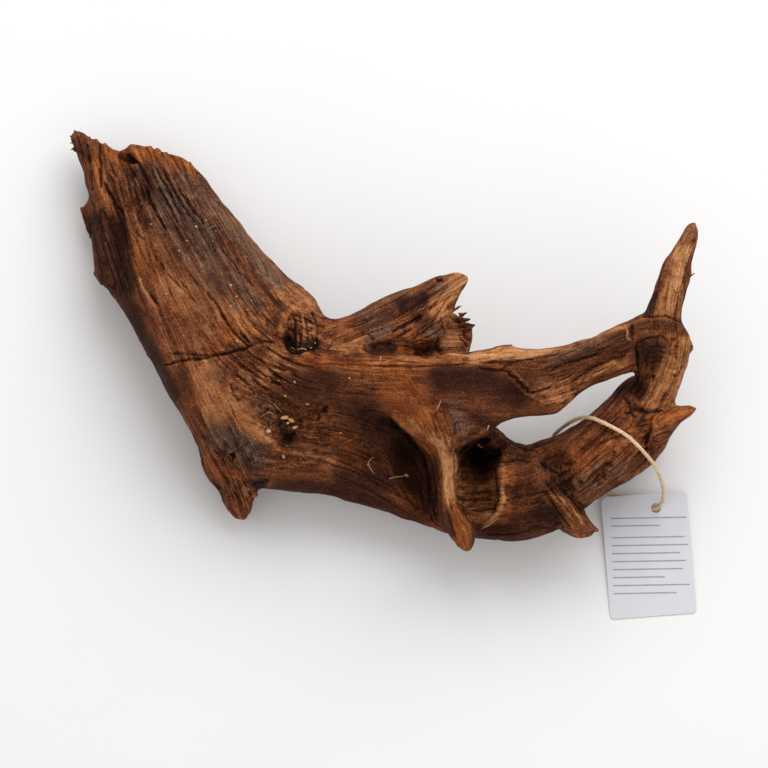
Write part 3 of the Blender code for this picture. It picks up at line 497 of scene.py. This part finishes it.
def course_fields(view):
    """Fibre coordinates (along, across, up) for each slot, and the slots' weights."""
    slots = [(np.zeros((len(view), 3)), np.zeros(len(view))) for _ in FIBRES]
    for number, (rows, slot) in enumerate(COURSES):
        fine = curve(rows, 4 * (len(rows) - 1))
        line = to_view(np.array([lean(*r[:3]) for r in fine]))
        reach = np.array([r[3] for r in fine])
        lo, hi = line.min(axis=0) - COURSE_REACH, line.max(axis=0) + COURSE_REACH
        near = np.flatnonzero(((view > lo) & (view < hi)).all(axis=1))
        p = view[near]
        best = np.full(len(p), FAR**2)
        got = np.zeros((len(p), 4))
        run = 0.0
        for i, (a, b) in enumerate(zip(line, line[1:])):
            ab = b - a
            length = np.linalg.norm(ab)
            raw = ((p - a) @ ab) / (length * length)
            # the first and the last stretch run on past their ends
            t = np.clip(raw, -9 if i == 0 else 0, 9 if i == len(line) - 2 else 1)
            off = p - a - t[:, None] * ab
            d2 = ((p - a - np.clip(raw, 0, 1)[:, None] * ab) ** 2).sum(axis=1)
            side = np.array((-ab[1], ab[0])) / max(np.hypot(ab[0], ab[1]), 1e-6)
            hit = d2 < best
            best[hit] = d2[hit]
            got[hit, 0] = run + t[hit] * length
            got[hit, 1] = off[hit, :2] @ side
            got[hit, 2] = 0.5 * off[hit, 2]
            got[hit, 3] = reach[i] + (reach[i + 1] - reach[i]) * np.clip(t[hit], 0, 1)
            run += length
        force = np.exp(-((np.sqrt(best) / got[:, 3]) ** 2))
        coords, power = slots[int(slot)]
        wins = force > power[near]
        # the shift keeps two courses from sharing a pattern
        coords[near[wins]] = got[wins, :3] + (400 * number, 37 * number, 0)
        power[near[wins]] = force[wins]
    weight = np.stack([power for _, power in slots], axis=1) ** 2.5 + 1e-12
    return [coords for coords, _ in slots], weight / (weight.sum(axis=1, keepdims=True) + WEAKEST**2.5)


# Meshes

def mesh_array(mesh, what="co"):
    """The vertices' places or normals as an array (n, 3)."""
    out = np.empty(len(mesh.vertices) * 3, np.float32)
    mesh.vertices.foreach_get(what, out)
    return out.reshape(-1, 3).astype(float)


def put(mesh, co):
    mesh.vertices.foreach_set("co", co.astype(np.float32).ravel())
    mesh.update()


def set_attribute(mesh, name, values):
    """Give each vertex a number or a vector that a material reads."""
    kind, key = ("FLOAT", "value") if values.ndim == 1 else ("FLOAT_VECTOR", "vector")
    mesh.attributes.new(name, kind, "POINT").data.foreach_set(key, values.astype(np.float32).ravel())


def faces_tree(mesh, place=Matrix()):
    """A tree of the mesh's faces for rays, laid by the matrix."""
    faces = [tuple(p.vertices) for p in mesh.polygons]
    return BVHTree.FromPolygons([place @ v.co for v in mesh.vertices], faces)


def onto(tree, u, v, start=300):
    """Where the line of sight at (u, v) first meets the tree's faces, and the normal there."""
    return tree.ray_cast(from_view(u, v, start), DOWN)[:2]


def link(name, data, *materials):
    for m in materials:
        data.materials.append(m)
    obj = bpy.data.objects.new(name, data)
    bpy.context.scene.collection.objects.link(obj)
    return obj


def round_off(mesh, rounded=True):
    for p in mesh.polygons:
        p.use_smooth = rounded


def piece(name, bm, material, box=None, rounded=True):
    """Turn a bmesh into a piece of the part, kept inside a node's box where one is named."""
    mesh = bpy.data.meshes.new(name)
    bm.to_mesh(mesh)
    bm.free()
    if box:
        put(mesh, np.clip(mesh_array(mesh), *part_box(box)))
    round_off(mesh, rounded)
    obj = link(name, mesh, material)
    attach(obj, BODY)
    return obj


def bake(obj):
    """Apply the object's modifiers."""
    graph = bpy.context.evaluated_depsgraph_get()
    mesh = bpy.data.meshes.new_from_object(obj.evaluated_get(graph))
    obj.modifiers.clear()
    obj.data = mesh
    return mesh


def remesh(obj, voxel, factor, times):
    """Mesh the object anew with voxels of so many mm, and smooth it so many times."""
    mod = obj.modifiers.new("Remesh", "REMESH")
    mod.mode = "VOXEL"
    mod.voxel_size = voxel * MM
    mod = obj.modifiers.new("Smooth", "SMOOTH")
    mod.factor = factor
    mod.iterations = times
    return bake(obj)


def ease(values, edges, count, times):
    """Average each vertex value with its neighbours, several times."""
    a, b = edges[:, 0], edges[:, 1]
    degree = np.bincount(a, minlength=count) + np.bincount(b, minlength=count)
    for _ in range(times):
        total = np.bincount(a, values[b], count) + np.bincount(b, values[a], count)
        values = 0.5 * values + 0.5 * total / degree
    return values


def tube(bm, line, radius_at, sides):
    """A closed tube along line with a radius for each (place, angle)."""
    line = [Vector(p) for p in line]
    side = None
    rings = []
    for i, p in enumerate(line):
        along = (line[min(i + 1, len(line) - 1)] - line[max(i - 1, 0)]).normalized()
        if side is None:
            side = along.orthogonal().normalized()
        side = (side - along * side.dot(along)).normalized()
        up = along.cross(side)
        ring = []
        for k in range(sides):
            a = 2 * math.pi * k / sides
            r = radius_at(i, a)
            ring.append(bm.verts.new(p + side * (r * math.cos(a)) + up * (r * math.sin(a))))
        rings.append(ring)
    for a, b in zip(rings, rings[1:]):
        for k in range(sides):
            n = (k + 1) % sides
            bm.faces.new((a[k], a[n], b[n], b[k]))
    bm.faces.new(rings[0][::-1])
    bm.faces.new(rings[-1])


# Materials

class Nodes:
    """A few short words for building a material's nodes."""

    def __init__(self, name):
        self.material = bpy.data.materials.new(name)
        self.material.use_nodes = True
        self.tree = self.material.node_tree
        self.shader = self.tree.nodes["Principled BSDF"]

    def add(self, kind, **settings):
        node = self.tree.nodes.new(kind)
        for key, value in settings.items():
            setattr(node, key, value)
        return node

    def wire(self, source, socket):
        if hasattr(source, "is_output"):
            self.tree.links.new(source, socket)
        else:
            socket.default_value = source

    def math(self, operation, a, b=0.0, c=0.0, clamp=False):
        node = self.add("ShaderNodeMath", operation=operation, use_clamp=clamp)
        for value, socket in zip((a, b, c), node.inputs):
            self.wire(value, socket)
        return node.outputs[0]

    def pile(self, base, *terms, clamp=False):
        """The base plus each term's value times its share."""
        for i, (value, share) in enumerate(terms, 1):
            base = self.math("MULTIPLY_ADD", value, share, base, clamp=clamp and i == len(terms))
        return base

    def vector(self, operation, a, b=(0, 0, 0)):
        node = self.add("ShaderNodeVectorMath", operation=operation)
        self.wire(a, node.inputs[0])
        self.wire(b, node.inputs[1])
        return node.outputs["Value" if operation == "DOT_PRODUCT" else "Vector"]

    def place(self):
        """Object coordinates in metres."""
        return self.add("ShaderNodeTexCoord").outputs["Object"]

    def place_mm(self):
        where = self.vector("SCALE", self.place())
        where.node.inputs["Scale"].default_value = 1 / MM
        return where

    def attribute(self, name, output="Fac"):
        return self.add("ShaderNodeAttribute", attribute_name=name).outputs[output]

    def noise(self, where, scale, detail, rough):
        node = self.add("ShaderNodeTexNoise")
        self.wire(where, node.inputs["Vector"])
        for key, value in (("Scale", scale), ("Detail", detail), ("Roughness", rough)):
            node.inputs[key].default_value = value
        return node.outputs["Fac"]

    def swing(self, where, scale, detail, rough):
        """Noise about 0."""
        return self.math("SUBTRACT", self.noise(where, scale, detail, rough), 0.5)

    def ramp(self, value, low, high):
        node = self.add("ShaderNodeMapRange", interpolation_type="SMOOTHSTEP")
        self.wire(value, node.inputs["Value"])
        node.inputs["From Min"].default_value = low
        node.inputs["From Max"].default_value = high
        return node.outputs["Result"]

    def thread(self, value, reach):
        """1 where the value is 0, fading to 0 at the reach on either side."""
        return self.math("SUBTRACT", 1.0, self.ramp(self.math("ABSOLUTE", value), 0.0, reach))

    def colours(self, value, *stops):
        node = self.add("ShaderNodeValToRGB")
        self.wire(value, node.inputs["Fac"])
        ramp = node.color_ramp
        while len(ramp.elements) < len(stops):
            ramp.elements.new(0.5)
        for element, (place, colour) in zip(ramp.elements, stops):
            element.position = place
            element.color = (*colour, 1)
        return node.outputs["Color"]

    def mix(self, factor, a, b):
        node = self.add("ShaderNodeMix", data_type="RGBA")
        self.wire(factor, node.inputs["Factor"])
        for value, key in ((a, "A"), (b, "B")):
            socket = [s for s in node.inputs if s.name == key and s.type == "RGBA"][0]
            self.wire(value if hasattr(value, "is_output") else (*value, 1), socket)
        return [s for s in node.outputs if s.type == "RGBA"][0]

    def bump(self, height, reach, strength):
        node = self.add("ShaderNodeBump")
        node.inputs["Strength"].default_value = strength
        node.inputs["Distance"].default_value = reach
        self.wire(height, node.inputs["Height"])
        self.wire(node.outputs["Normal"], self.shader.inputs["Normal"])


def srgb(r, g, b):
    return tuple((c / 255 / 12.92) if c <= 10 else ((c / 255 + 0.055) / 1.055) ** 2.4 for c in (r, g, b))


def wood_shades(n, tone):
    """For each of the wood's colours, a ramp from shade to light over the tone."""
    shades = {}
    for name, stops in WOODS.items():
        warmth = (1, 1, 1) if name == "grey" else WARMTH
        shades[name] = n.colours(tone, *((place, srgb(r * warmth[0], g * warmth[1], b * warmth[2]))
                                         for place, r, g, b in stops))
    return shades


def wood_material():
    """Weathered wood: streaks and cracks that run along the fibres, and patches of its colours. Some
    patches are painted shade in shadowed places, and some are painted highlight on crests that face the
    light.
    """
    n = Nodes("weathered_wood")
    slots = [n.attribute(name, "Vector") for name in FIBRES]
    blend = n.attribute("courses", "Vector")

    def streaks(along, across, detail, rough):
        """Noise drawn out along the fibres, so many mm long and wide, blended over the slots."""
        row = n.add("ShaderNodeCombineXYZ")
        for coords, socket in zip(slots, row.inputs):
            where = n.vector("MULTIPLY", coords, (1 / along, 1 / across, 1 / across))
            n.wire(n.swing(where, 1.0, detail, rough), socket)
        return n.vector("DOT_PRODUCT", row.outputs[0], blend)

    here = n.place_mm()
    fine = streaks(16.0, 1.15, 3.0, 0.68)
    broad = streaks(80.0, 4.2, 2.0, 0.5)
    grit = n.swing(here, 1.0, 4.0, 0.72)
    mottle = n.swing(here, 0.22, 3.0, 0.6)
    cloud = n.swing(here, 0.06, 4.0, 0.6)
    lively, combed, hollow, wear = (n.attribute(name) for name in ("lively", "combed", "hollow", "wear"))
    patchy = n.ramp(n.noise(here, 0.09, 2.0, 0.5), 0.42, 0.62)
    lines = n.math("MULTIPLY", n.thread(streaks(40.0, 2.4, 1.0, 0.5), 0.035), patchy)
    lines = n.math("MULTIPLY", lines, lively, clamp=True)
    lines = n.pile(lines, (n.thread(streaks(90.0, 2.1, 1.0, 0.5), 0.06), combed), clamp=True)

    spread = n.pile(0.4, (lively, 0.6))
    fine_spread, broad_spread = n.math("MULTIPLY", fine, spread), n.math("MULTIPLY", broad, spread)
    # Painted shade: the hollow shade darkens the tone in hollows and cracks. The wear lightens it on the
    # ridges, partly wear and partly painted highlight.
    tone = n.pile(0.47, (fine_spread, 0.95), (broad_spread, 0.68), (lines, -0.24), (grit, 1.38),
                  (mottle, 0.42), (cloud, 0.24), (wear, 0.30), (hollow, -0.40), clamp=True)
    ragged = n.pile(broad, (fine, 0.9), (mottle, 0.7))
    shades = wood_shades(n, tone)
    colour = shades["brown"]
    # The stain-and-shade patches paint shade; the orange, tan and pale patches partly paint highlight.
    for name in TINTS:
        amount = n.attribute("tint_" + name)
        edge = n.ramp(n.math("ADD", ragged, amount), 0.15, 0.80)
        colour = n.mix(n.math("MULTIPLY", edge, n.ramp(amount, 0.0, 0.25)), colour, shades[name])
    n.wire(colour, n.shader.inputs["Base Color"])
    n.wire(n.pile(0.80, (tone, -0.12)), n.shader.inputs["Roughness"])
    n.shader.inputs["Specular IOR Level"].default_value = 0.08
    height = n.pile(n.math("MULTIPLY", broad, 1.1), (fine, 1.0), (grit, 0.8), (lines, -0.5))
    n.bump(n.math("MULTIPLY", height, n.pile(0.5, (lively, 0.5))), 1.1 * MM, 0.9)
    return n.material


def plain_material(name, colour, roughness, grain, scale):
    """One colour, lighter and darker by its grain, in specks of noise at the scale."""
    n = Nodes(name)
    light = tuple(min(1.0, c * (1 + grain)) for c in colour)
    shade = tuple(c * (1 - grain) for c in colour)
    speck = n.ramp(n.noise(n.place(), scale, 4.0, 0.6), 0.3, 0.7)
    n.wire(n.mix(speck, shade, light), n.shader.inputs["Base Color"])
    n.shader.inputs["Roughness"].default_value = roughness
    return n.material


def crumb_material():
    """Pale debris, straw coloured where the crumbs are marked so."""
    n = Nodes("pale_debris")
    speck = n.ramp(n.noise(n.place_mm(), 1.4, 3.0, 0.6), 0.3, 0.7)
    pale = n.mix(speck, srgb(142, 112, 82), srgb(212, 186, 152))
    straw = n.mix(speck, srgb(168, 104, 40), srgb(236, 186, 108))
    n.wire(n.mix(n.attribute("straw"), pale, straw), n.shader.inputs["Base Color"])
    n.shader.inputs["Roughness"].default_value = 0.85
    return n.material


# Camera, twine and tag

def camera():
    data = bpy.data.cameras.new("camera")
    data.sensor_width = 36.0
    data.lens = 36.0 * DISTANCE / PICTURE
    data.clip_start, data.clip_end = 0.5, 40.0
    obj = link("camera", data)
    away = Vector((0, -SIN, COS))
    obj.location = lean(*LOOK_AT) + DISTANCE * away
    obj.rotation_euler = (-away).to_track_quat("-Z", "Y").to_euler()
    bpy.context.scene.camera = obj


def twine():
    """The loop of jute twine, with its knot and hairs; the tag and its ruled lines hang on it."""
    line = [lean(*p) for p in curve(TWINE, 18 * (len(TWINE) - 1))]
    run = [0.0]
    for a, b in zip(line, line[1:]):
        run.append(run[-1] + (b - a).length)

    def radius_at(i, a):
        lobe = abs(math.cos(1.5 * (a - 2 * math.pi * run[i] / TWIST)))
        return MM * TWINE_RADIUS * (0.80 + 0.20 * lobe**0.6)

    bm = bmesh.new()
    tube(bm, line, radius_at, 24)
    jute = plain_material("jute", srgb(222, 190, 154), 0.9, 0.25, 900.0)
    obj = piece("jute_twine", bm, jute)
    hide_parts("twine")
    extras = [piece("twine_knot", knot(), jute), piece("twine_hairs", fuzz(line), jute)]
    tuple(line[0])
    [tuple(p) for p in line]


def knot():
    """The twine's own ends, tied under the branch."""
    bm = bmesh.new()

    def strands(i, a):
        return 0.84 + 0.16 * abs(math.cos(1.5 * a - 0.35 * i))

    line = []
    for i in range(97):
        a = 2 * math.tau * i / 96
        r = 1.7 + 0.75 * math.cos(1.5 * a)
        line.append(lean(115.2 + r * math.cos(a), -50.0 + r * math.sin(a), 2.1 + 0.85 * math.sin(1.5 * a)))
    tube(bm, line, lambda i, a: MM * 0.95 * strands(i, a), 12)
    for tail in ([(114, -49, 1.8), (118, -45.5, 1.5), (123, -43.5, 1.3), (127, -44.5, 1.3)],
                 [(115, -51, 1.8), (112, -55.5, 1.5), (108, -58.5, 1.3), (106.5, -62.5, 1.3)]):
        rows = [lean(*p) for p in curve(tail, 24)]
        # the last three rings are wider, where the end frays
        tube(bm, rows, lambda i, a: MM * 0.85 * strands(i, a) * (1 + 0.3 * (i > 21)), 10)
    return bm


def fuzz(line):
    """Short stray hairs along the twine, and a frayed wisp in the tag's hole."""
    bm = bmesh.new()
    spin = [Vector(RANDOM.normal(size=3)) for _ in range(HAIRS + WISP)]
    for k, around in enumerate(spin):
        i = int(RANDOM.integers(6, len(line) - 7) if k < HAIRS else RANDOM.integers(104, 130))
        along = (line[i + 2] - line[i - 2]).normalized() * (1 if k % 2 else -1)
        out = (around - along * around.dot(along)).normalized()
        reach = MM * RANDOM.uniform(0.8, 2.2)
        start = line[i] + out * (0.75 * TWINE_RADIUS * MM)
        rows = [start, start + along * reach * 0.6 + out * 0.35 * MM,
                start + along * reach + out * RANDOM.uniform(0.5, 1.1) * MM]
        for row in rows:
            row.z = max(row.z, 0.15 * MM)
        tube(bm, rows, lambda i, a: MM * (0.13, 0.11, 0.06)[i], 4)
    return bm


def rules(holder):
    """Plain ruled lines on the tag, in the place of its print."""
    tree = faces_tree(holder.data, holder.matrix_world)
    bm = bmesh.new()
    for v, right in ((-81.0, 182), (-85.6, 166), (-92.6, 181), (-97.4, 183), (-102.2, 178),
                     (-107.0, 182), (-111.8, 180), (-116.6, 169), (-121.4, 184), (-126.2, 176)):
        left = 136.6 - (v + 81) * 0.035
        rails = []
        for i in range(13):
            u = left + (right - left) * i / 12
            for side in (0.42, -0.42):
                place = onto(tree, u, v + RULE_SLOPE * (u - left) + side, 200)[0]
                if place is not None:
                    rails.append([bm.verts.new(place + DOWN * rise * MM) for rise in (-0.05, 0.05)])
        for a, b, d, c in zip(rails[::2], rails[1::2], rails[2::2], rails[3::2]):
            for quad in ((a[0], b[0], c[0], d[0]), (d[1], c[1], b[1], a[1]),
                         (a[1], a[0], d[0], d[1]), (b[0], b[1], c[1], c[0])):
                bm.faces.new(quad)
        if len(rails) > 3:
            for p, q in (rails[:2], rails[-2:][::-1]):
                bm.faces.new((p[0], p[1], q[1], q[0]))
    bmesh.ops.recalc_face_normals(bm, faces=bm.faces)
    ink = plain_material("tag_ink", srgb(158, 157, 172), 0.6, 0.1, 200.0)
    return piece("tag_rules", bm, ink, rounded=False)


def tag_card(holder):
    """The card's own look, on the CAD tag."""
    card = plain_material("tag_card", srgb(214, 213, 219), 0.55, 0.015, 60.0)
    for slot in holder.material_slots:
        slot.material = card


# The root's skin

def sprout(bm, start, end, wide, narrow):
    """A closed, slightly uneven splinter from start to end (metres)."""
    line = [start.lerp(end, t) for t in (0, 0.35, 0.7, 1)]
    swell = [wide, wide * 0.9, (wide + narrow) * 0.5, narrow]
    shift = RANDOM.uniform(0.8, 1.2, (4, 7))
    tube(bm, line, lambda i, a: swell[i] * MM * shift[i, int(a / math.tau * 6.99)], 7)


def strewn(rows, scatter, least):
    """Where each fringe or sliver stands, how it grows, its length and its row's last measures."""
    for (a, b, grow), count, length, *rest in rows:
        for k in range(int(count)):
            t = (k + RANDOM.uniform(0, 1)) / count
            root = [x + (y - x) * t + RANDOM.normal(0, scatter) for x, y in zip(a, b)]
            yield root, grow, length * RANDOM.uniform(least, 1.0), *rest


def add_splinters(mesh):
    bm = bmesh.new()
    bm.from_mesh(mesh)
    for (start, end), wide, narrow in SPLINTERS:
        sprout(bm, lean(*start), lean(*end), wide, narrow)
    for root, grow, reach in strewn(FRINGES, 0.8, 0.45):
        tip = [x + g * reach + RANDOM.normal(0, 0.35) for x, g in zip(root, grow)]
        foot = [x - g * 4 for x, g in zip(root, grow)]
        sprout(bm, lean(*foot), lean(*tip), RANDOM.uniform(0.9, 1.6), RANDOM.uniform(0.5, 0.8))
    bm.to_mesh(mesh)
    bm.free()


def paint(mesh, **fields):
    """Write the attributes that the wood's material reads."""
    view = to_view(mesh_array(mesh))
    fibre, weight = course_fields(view)
    front = smooth(turn_view(mesh_array(mesh, "normal"))[:, 2], -0.25, 0.25)
    strayed = view.copy()
    strayed[:, :2] += 2.2 * np.stack([layered(view / 9.0, seed) for seed in (51, 57)], axis=1)
    for seed, (name, rows) in enumerate(TINTS.items(), 91):
        total = np.zeros(len(view))
        for path, radius, strength in rows:
            total = np.maximum(total, strength * dab(strayed, path, radius * 1.2, 2.2))
        hidden = smooth(layered(view / (46.0, 34.0, 34.0), 10 * seed), *HIDDEN[name])
        fields["tint_" + name] = total * front + 0.55 * hidden * (1 - front)
    fields.update(zip(FIBRES, fibre), courses=weight)
    for name, values in fields.items():
        set_attribute(mesh, name, values)


def relief(view, lively, combed):
    """How far the fibres, splits, combed grooves and rough ground push the wood out, mm."""
    fibre, weight = course_fields(view)

    def along_fibres(along, across, seed, octaves=2):
        return sum(weight[:, k] * layered(fibre[k] / (along, across, across), seed, octaves)
                   for k in range(len(FIBRES)))

    push = np.full(len(view), 0.25)
    push += lively * (0.50 * along_fibres(60, 5.0, 1) + 0.35 * along_fibres(34, 2.6, 5))
    split = np.exp(-((along_fibres(75, 4.2, 9, 1) / 0.075) ** 2))
    push -= 0.75 * lively * split * smooth(along_fibres(50, 14, 12, 1), -0.25, 0.35)
    push -= 0.55 * combed * np.exp(-((along_fibres(100, 2.9, 15, 1) / 0.12) ** 2))
    push += 0.45 * (0.2 + 0.8 * lively) * layered(view / 8.0, 21)
    push += 0.8 * add_up(view, ROUGH) * layered(view / 3.4, 61)
    return push


def carve(view, facing):
    """How deep the cracks and pits go, less the ridges' height, mm, on the side that is seen."""
    wobble = np.stack([layered(view / 4.0, seed, 2) for seed in (31, 37)], axis=1)
    strayed = view.copy()
    strayed[:, :2] += 0.7 * wobble
    carved = np.zeros(len(view))
    for path, width, depth in CRACKS:
        carved += depth * dab(strayed, path, width * 0.9, 1.5, 0.6)
    for path, width, height in RIDGES:
        carved -= height * dab(strayed, path, width)
    strayed[:, :2] += 1.3 * wobble
    for spot, radius, depth in PITS:
        carved += depth * dab(strayed, spot, radius)
    return carved * (smooth(facing, -0.1, 0.25) * (0.8 + 0.7 * layered(view / 6.0, 41, 2)))


def hollows(mesh, co, carved):
    """How hollow (above 0) or worn (below 0) each vertex is, from its bend at two sizes and the carved
    cracks. The hollow part is painted shade in the hollows and cracks; the worn part lightens the ridges,
    partly as wear and partly as painted highlight.
    """
    edges = np.empty(len(mesh.edges) * 2, np.int64)
    mesh.edges.foreach_get("vertices", edges)
    edges = edges.reshape(-1, 2)
    normal = mesh_array(mesh, "normal")
    total = np.zeros(len(co))
    soft = co.copy()
    for times, size in ((6, 0.30), (40, 1.0)):
        soft = np.stack([ease(soft[:, k], edges, len(co), times) for k in range(3)], axis=1)
        bend = ((soft - co) * normal).sum(axis=1) / MM
        total += 0.5 * np.clip(bend / size, -1, 1)
    return total + 0.5 * np.clip(carved / 1.6, -0.6, 1)


def thin_out(skin):
    """Take triangles away, most of them on the sides that aren't seen."""
    mesh = skin.data
    group = skin.vertex_groups.new(name="fine")
    want = smooth(turn_view(mesh_array(mesh, "normal"))[:, 2], -0.35, 0.15)
    for level in range(5):
        picked = np.flatnonzero((want > level / 5 - 0.001) & (want <= (level + 1) / 5))
        group.add(picked.tolist(), 1 - (level + 0.5) / 5 * 0.8, "REPLACE")
    mod = skin.modifiers.new("Decimate", "DECIMATE")
    mod.vertex_group = "fine"
    mod.ratio = min(1.0, SKIN_TRIANGLES / sum(len(p.vertices) - 2 for p in mesh.polygons))
    mesh = bake(skin)
    skin.vertex_groups.clear()
    put(mesh, np.clip(mesh_array(mesh), *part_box("root")))
    return mesh


def root_skin():
    """The root's solid meshed anew, with the wood's relief worked into it."""
    mesh = frame["nodes"]["root"].data.copy()
    mesh.materials.clear()
    skin = link("root_skin", mesh)
    add_splinters(remesh(skin, COARSE, 0.6, 9))
    mesh = remesh(skin, FINE, 0.5, 3)
    co, normal = mesh_array(mesh), mesh_array(mesh, "normal")
    view = to_view(co)
    lively = np.clip(1 + add_up(view, CALM), 0.12, 2.2)
    combed = np.clip(add_up(view, COMBED), 0, 1)
    carved = carve(view, turn_view(normal)[:, 2])
    co = co + normal * ((relief(view, lively, combed) - carved) * MM)[:, None]
    co = np.clip(co, *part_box("root"))
    put(mesh, co)
    # Above 0 this is painted shade for the hollows and cracks; below 0 it is the ridges' lightening, partly
    # wear and partly painted highlight.
    hollow = hollows(mesh, co, carved)
    tree = kdtree.KDTree(len(co))
    for i, p in enumerate(co):
        tree.insert(p, i)
    tree.balance()
    mesh = thin_out(skin)
    match = np.array([tree.find(p)[1] for p in mesh_array(mesh)])
    paint(mesh, hollow=np.clip(hollow[match], 0, 1), wear=np.clip(-hollow[match], 0, 1),
          lively=lively[match], combed=combed[match])
    mesh.materials.clear()
    mesh.materials.append(wood_material())
    round_off(mesh)
    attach(skin, BODY)
    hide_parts("root")
    return skin


# Slivers, crumbs and stray fibres

def slivers(material):
    """Torn prongs and slivers that stand off the wood, their feet sunk in it."""
    bm = bmesh.new()
    for root, grow, reach, wide in strewn(SLIVERS, 0.5, 0.4):
        grow = [g + RANDOM.normal(0, 0.22) for g in grow]
        steps = [reach * s - 3.0 * (1 - s) for s in (0, 0.5, 0.8, 1)]
        line = [lean(*[x + g * step for x, g in zip(root, grow)]) for step in steps]
        swell = MM * wide * RANDOM.uniform(0.6, 1.2)
        tube(bm, line, lambda i, a: swell * (1.0, 0.85, 0.6, 0.25)[i] * (1 + 0.35 * math.cos(2 * a)), 5)
    for (start, end), wide, thick in PRONGS:
        middle = [(a + b) / 2 + RANDOM.normal(0, 0.25) for a, b in zip(start, end)]
        shift = RANDOM.uniform(0.85, 1.15, 7)
        rows = [lean(*p) for p in curve([start, middle, end], 6)]
        tube(bm, rows, lambda i, a: MM * shift[i] * (1 - 0.13 * i + 0.02 * (i == 6))
             * math.hypot(wide * math.cos(a), thick * math.sin(a)), 9)
    mesh = piece("torn_slivers", bm, material, box="root", rounded=False).data
    flat = np.zeros(len(mesh.vertices))
    # The slivers get no painted shade, and an even lightening from the wear and highlight term.
    paint(mesh, hollow=flat, wear=flat + 0.25, lively=flat + 1, combed=flat)


def crumbs(tree):
    """Crumbs at their own places and finer specks scattered over their areas, lying on the wood."""
    bm = bmesh.new()
    rows = list(CRUMBS)
    for ((u, v),), a, b, count in SPECKS:
        for _ in range(int(count)):
            size = 0.30 + 0.36 * RANDOM.random() ** 4
            rows.append(([(u + a * RANDOM.normal(0, 0.5), v + b * RANDOM.normal(0, 0.5))],
                         size, size * RANDOM.uniform(0.6, 1.2), RANDOM.uniform(0, 180)))
    for ((u, v),), a, b, turn in rows:
        place, normal = onto(tree, u, v)
        if place is None or normal.dot(-DOWN) < 0.2:
            continue
        side = (RIGHT - normal * RIGHT.dot(normal)).normalized()
        other = normal.cross(side)
        c, s = math.cos(math.radians(turn)), math.sin(math.radians(turn))
        for vert in bmesh.ops.create_icosphere(bm, subdivisions=2 if a > 1.0 else 1, radius=1.0)["verts"]:
            x, y, z = vert.co
            bulge = 1 + RANDOM.uniform(-0.3, 0.3)
            x, y, z = 0.43 * x * a * bulge, 0.43 * y * b * bulge, 0.15 * z * (a + b) * bulge
            turned = side * (c * x - s * y) + other * (s * x + c * y)
            vert.co = place + (turned + normal * (z + 0.12 * min(a, b))) * MM
    mesh = piece("pale_crumbs", bm, crumb_material(), box="root", rounded=False).data
    spot = to_view(mesh_array(mesh))[:, :2]
    straw = np.exp(-((np.linalg.norm(spot - (-57.5, -21.5), axis=1) / 4.5) ** 4))
    straw += 0.5 * lattice(np.column_stack([spot / 6.0, np.zeros(len(spot))]), 71)
    set_attribute(mesh, "straw", np.clip(straw, 0, 1))


def strays(tree):
    """Fibres that lie on the wood, thin at both ends."""
    bm = bmesh.new()
    for path, wide, rise in STRAYS:
        places = [onto(tree, u, v)[0] for u, v in curve(path, 6 * (len(path) - 1))]
        line = [place - DOWN * (rise * MM) for place in places if place is not None]
        if len(line) > 2:
            middles = [(a + b * 2 + c) / 4 for a, b, c in zip(line, line[1:], line[2:])]
            span = len(line) + 0.2
            tube(bm, [line[0], *middles, line[-1]],
                 lambda i, a: MM * wide * (0.45 + 0.55 * math.sin(math.pi * (i + 0.6) / span)), 6)
    pale = plain_material("pale_fibre", srgb(176, 138, 104), 0.8, 0.3, 700.0)
    piece("stray_fibres", bm, pale, box="root")


# Stage

def stage():
    """A pale floor, an even room and two soft lights."""
    mesh = bpy.data.meshes.new("floor")
    mesh.from_pydata([(-6, -6, 0), (6, -6, 0), (6, 6, 0), (-6, 6, 0)], [], [(0, 1, 2, 3)])
    floor = link("floor", mesh, plain_material("pale_floor", (0.86, 0.86, 0.86), 0.9, 0.01, 3.0))
    scene = bpy.context.scene
    scene.view_settings.view_transform = "Standard"
    world = bpy.data.worlds.new("room")
    world.use_nodes = True
    background = world.node_tree.nodes["Background"]
    background.inputs["Color"].default_value = (1.0, 0.99, 0.98, 1)
    background.inputs["Strength"].default_value = 0.70
    scene.world = world
    for name, place, size, power in (("key", (0.5, 1.25, 1.6), 2.1, 30.5),
                                     ("fill", (0.9, -1.2, 1.6), 1.6, 2.0)):
        light = bpy.data.lights.new(name, "AREA")
        light.shape = "DISK"
        light.size = size
        light.energy = power
        obj = link(name, light)
        obj.location = place
        obj.rotation_euler = (Vector((0, 0, 0.04)) - Vector(place)).to_track_quat("-Z", "Y").to_euler()


camera()
tag = frame["nodes"]["tag"]
tag_card(tag)
ink = rules(tag)
twine()
skin = root_skin()
tree = faces_tree(skin.data)
slivers(skin.data.materials[0])
crumbs(tree)
strays(tree)
stage()
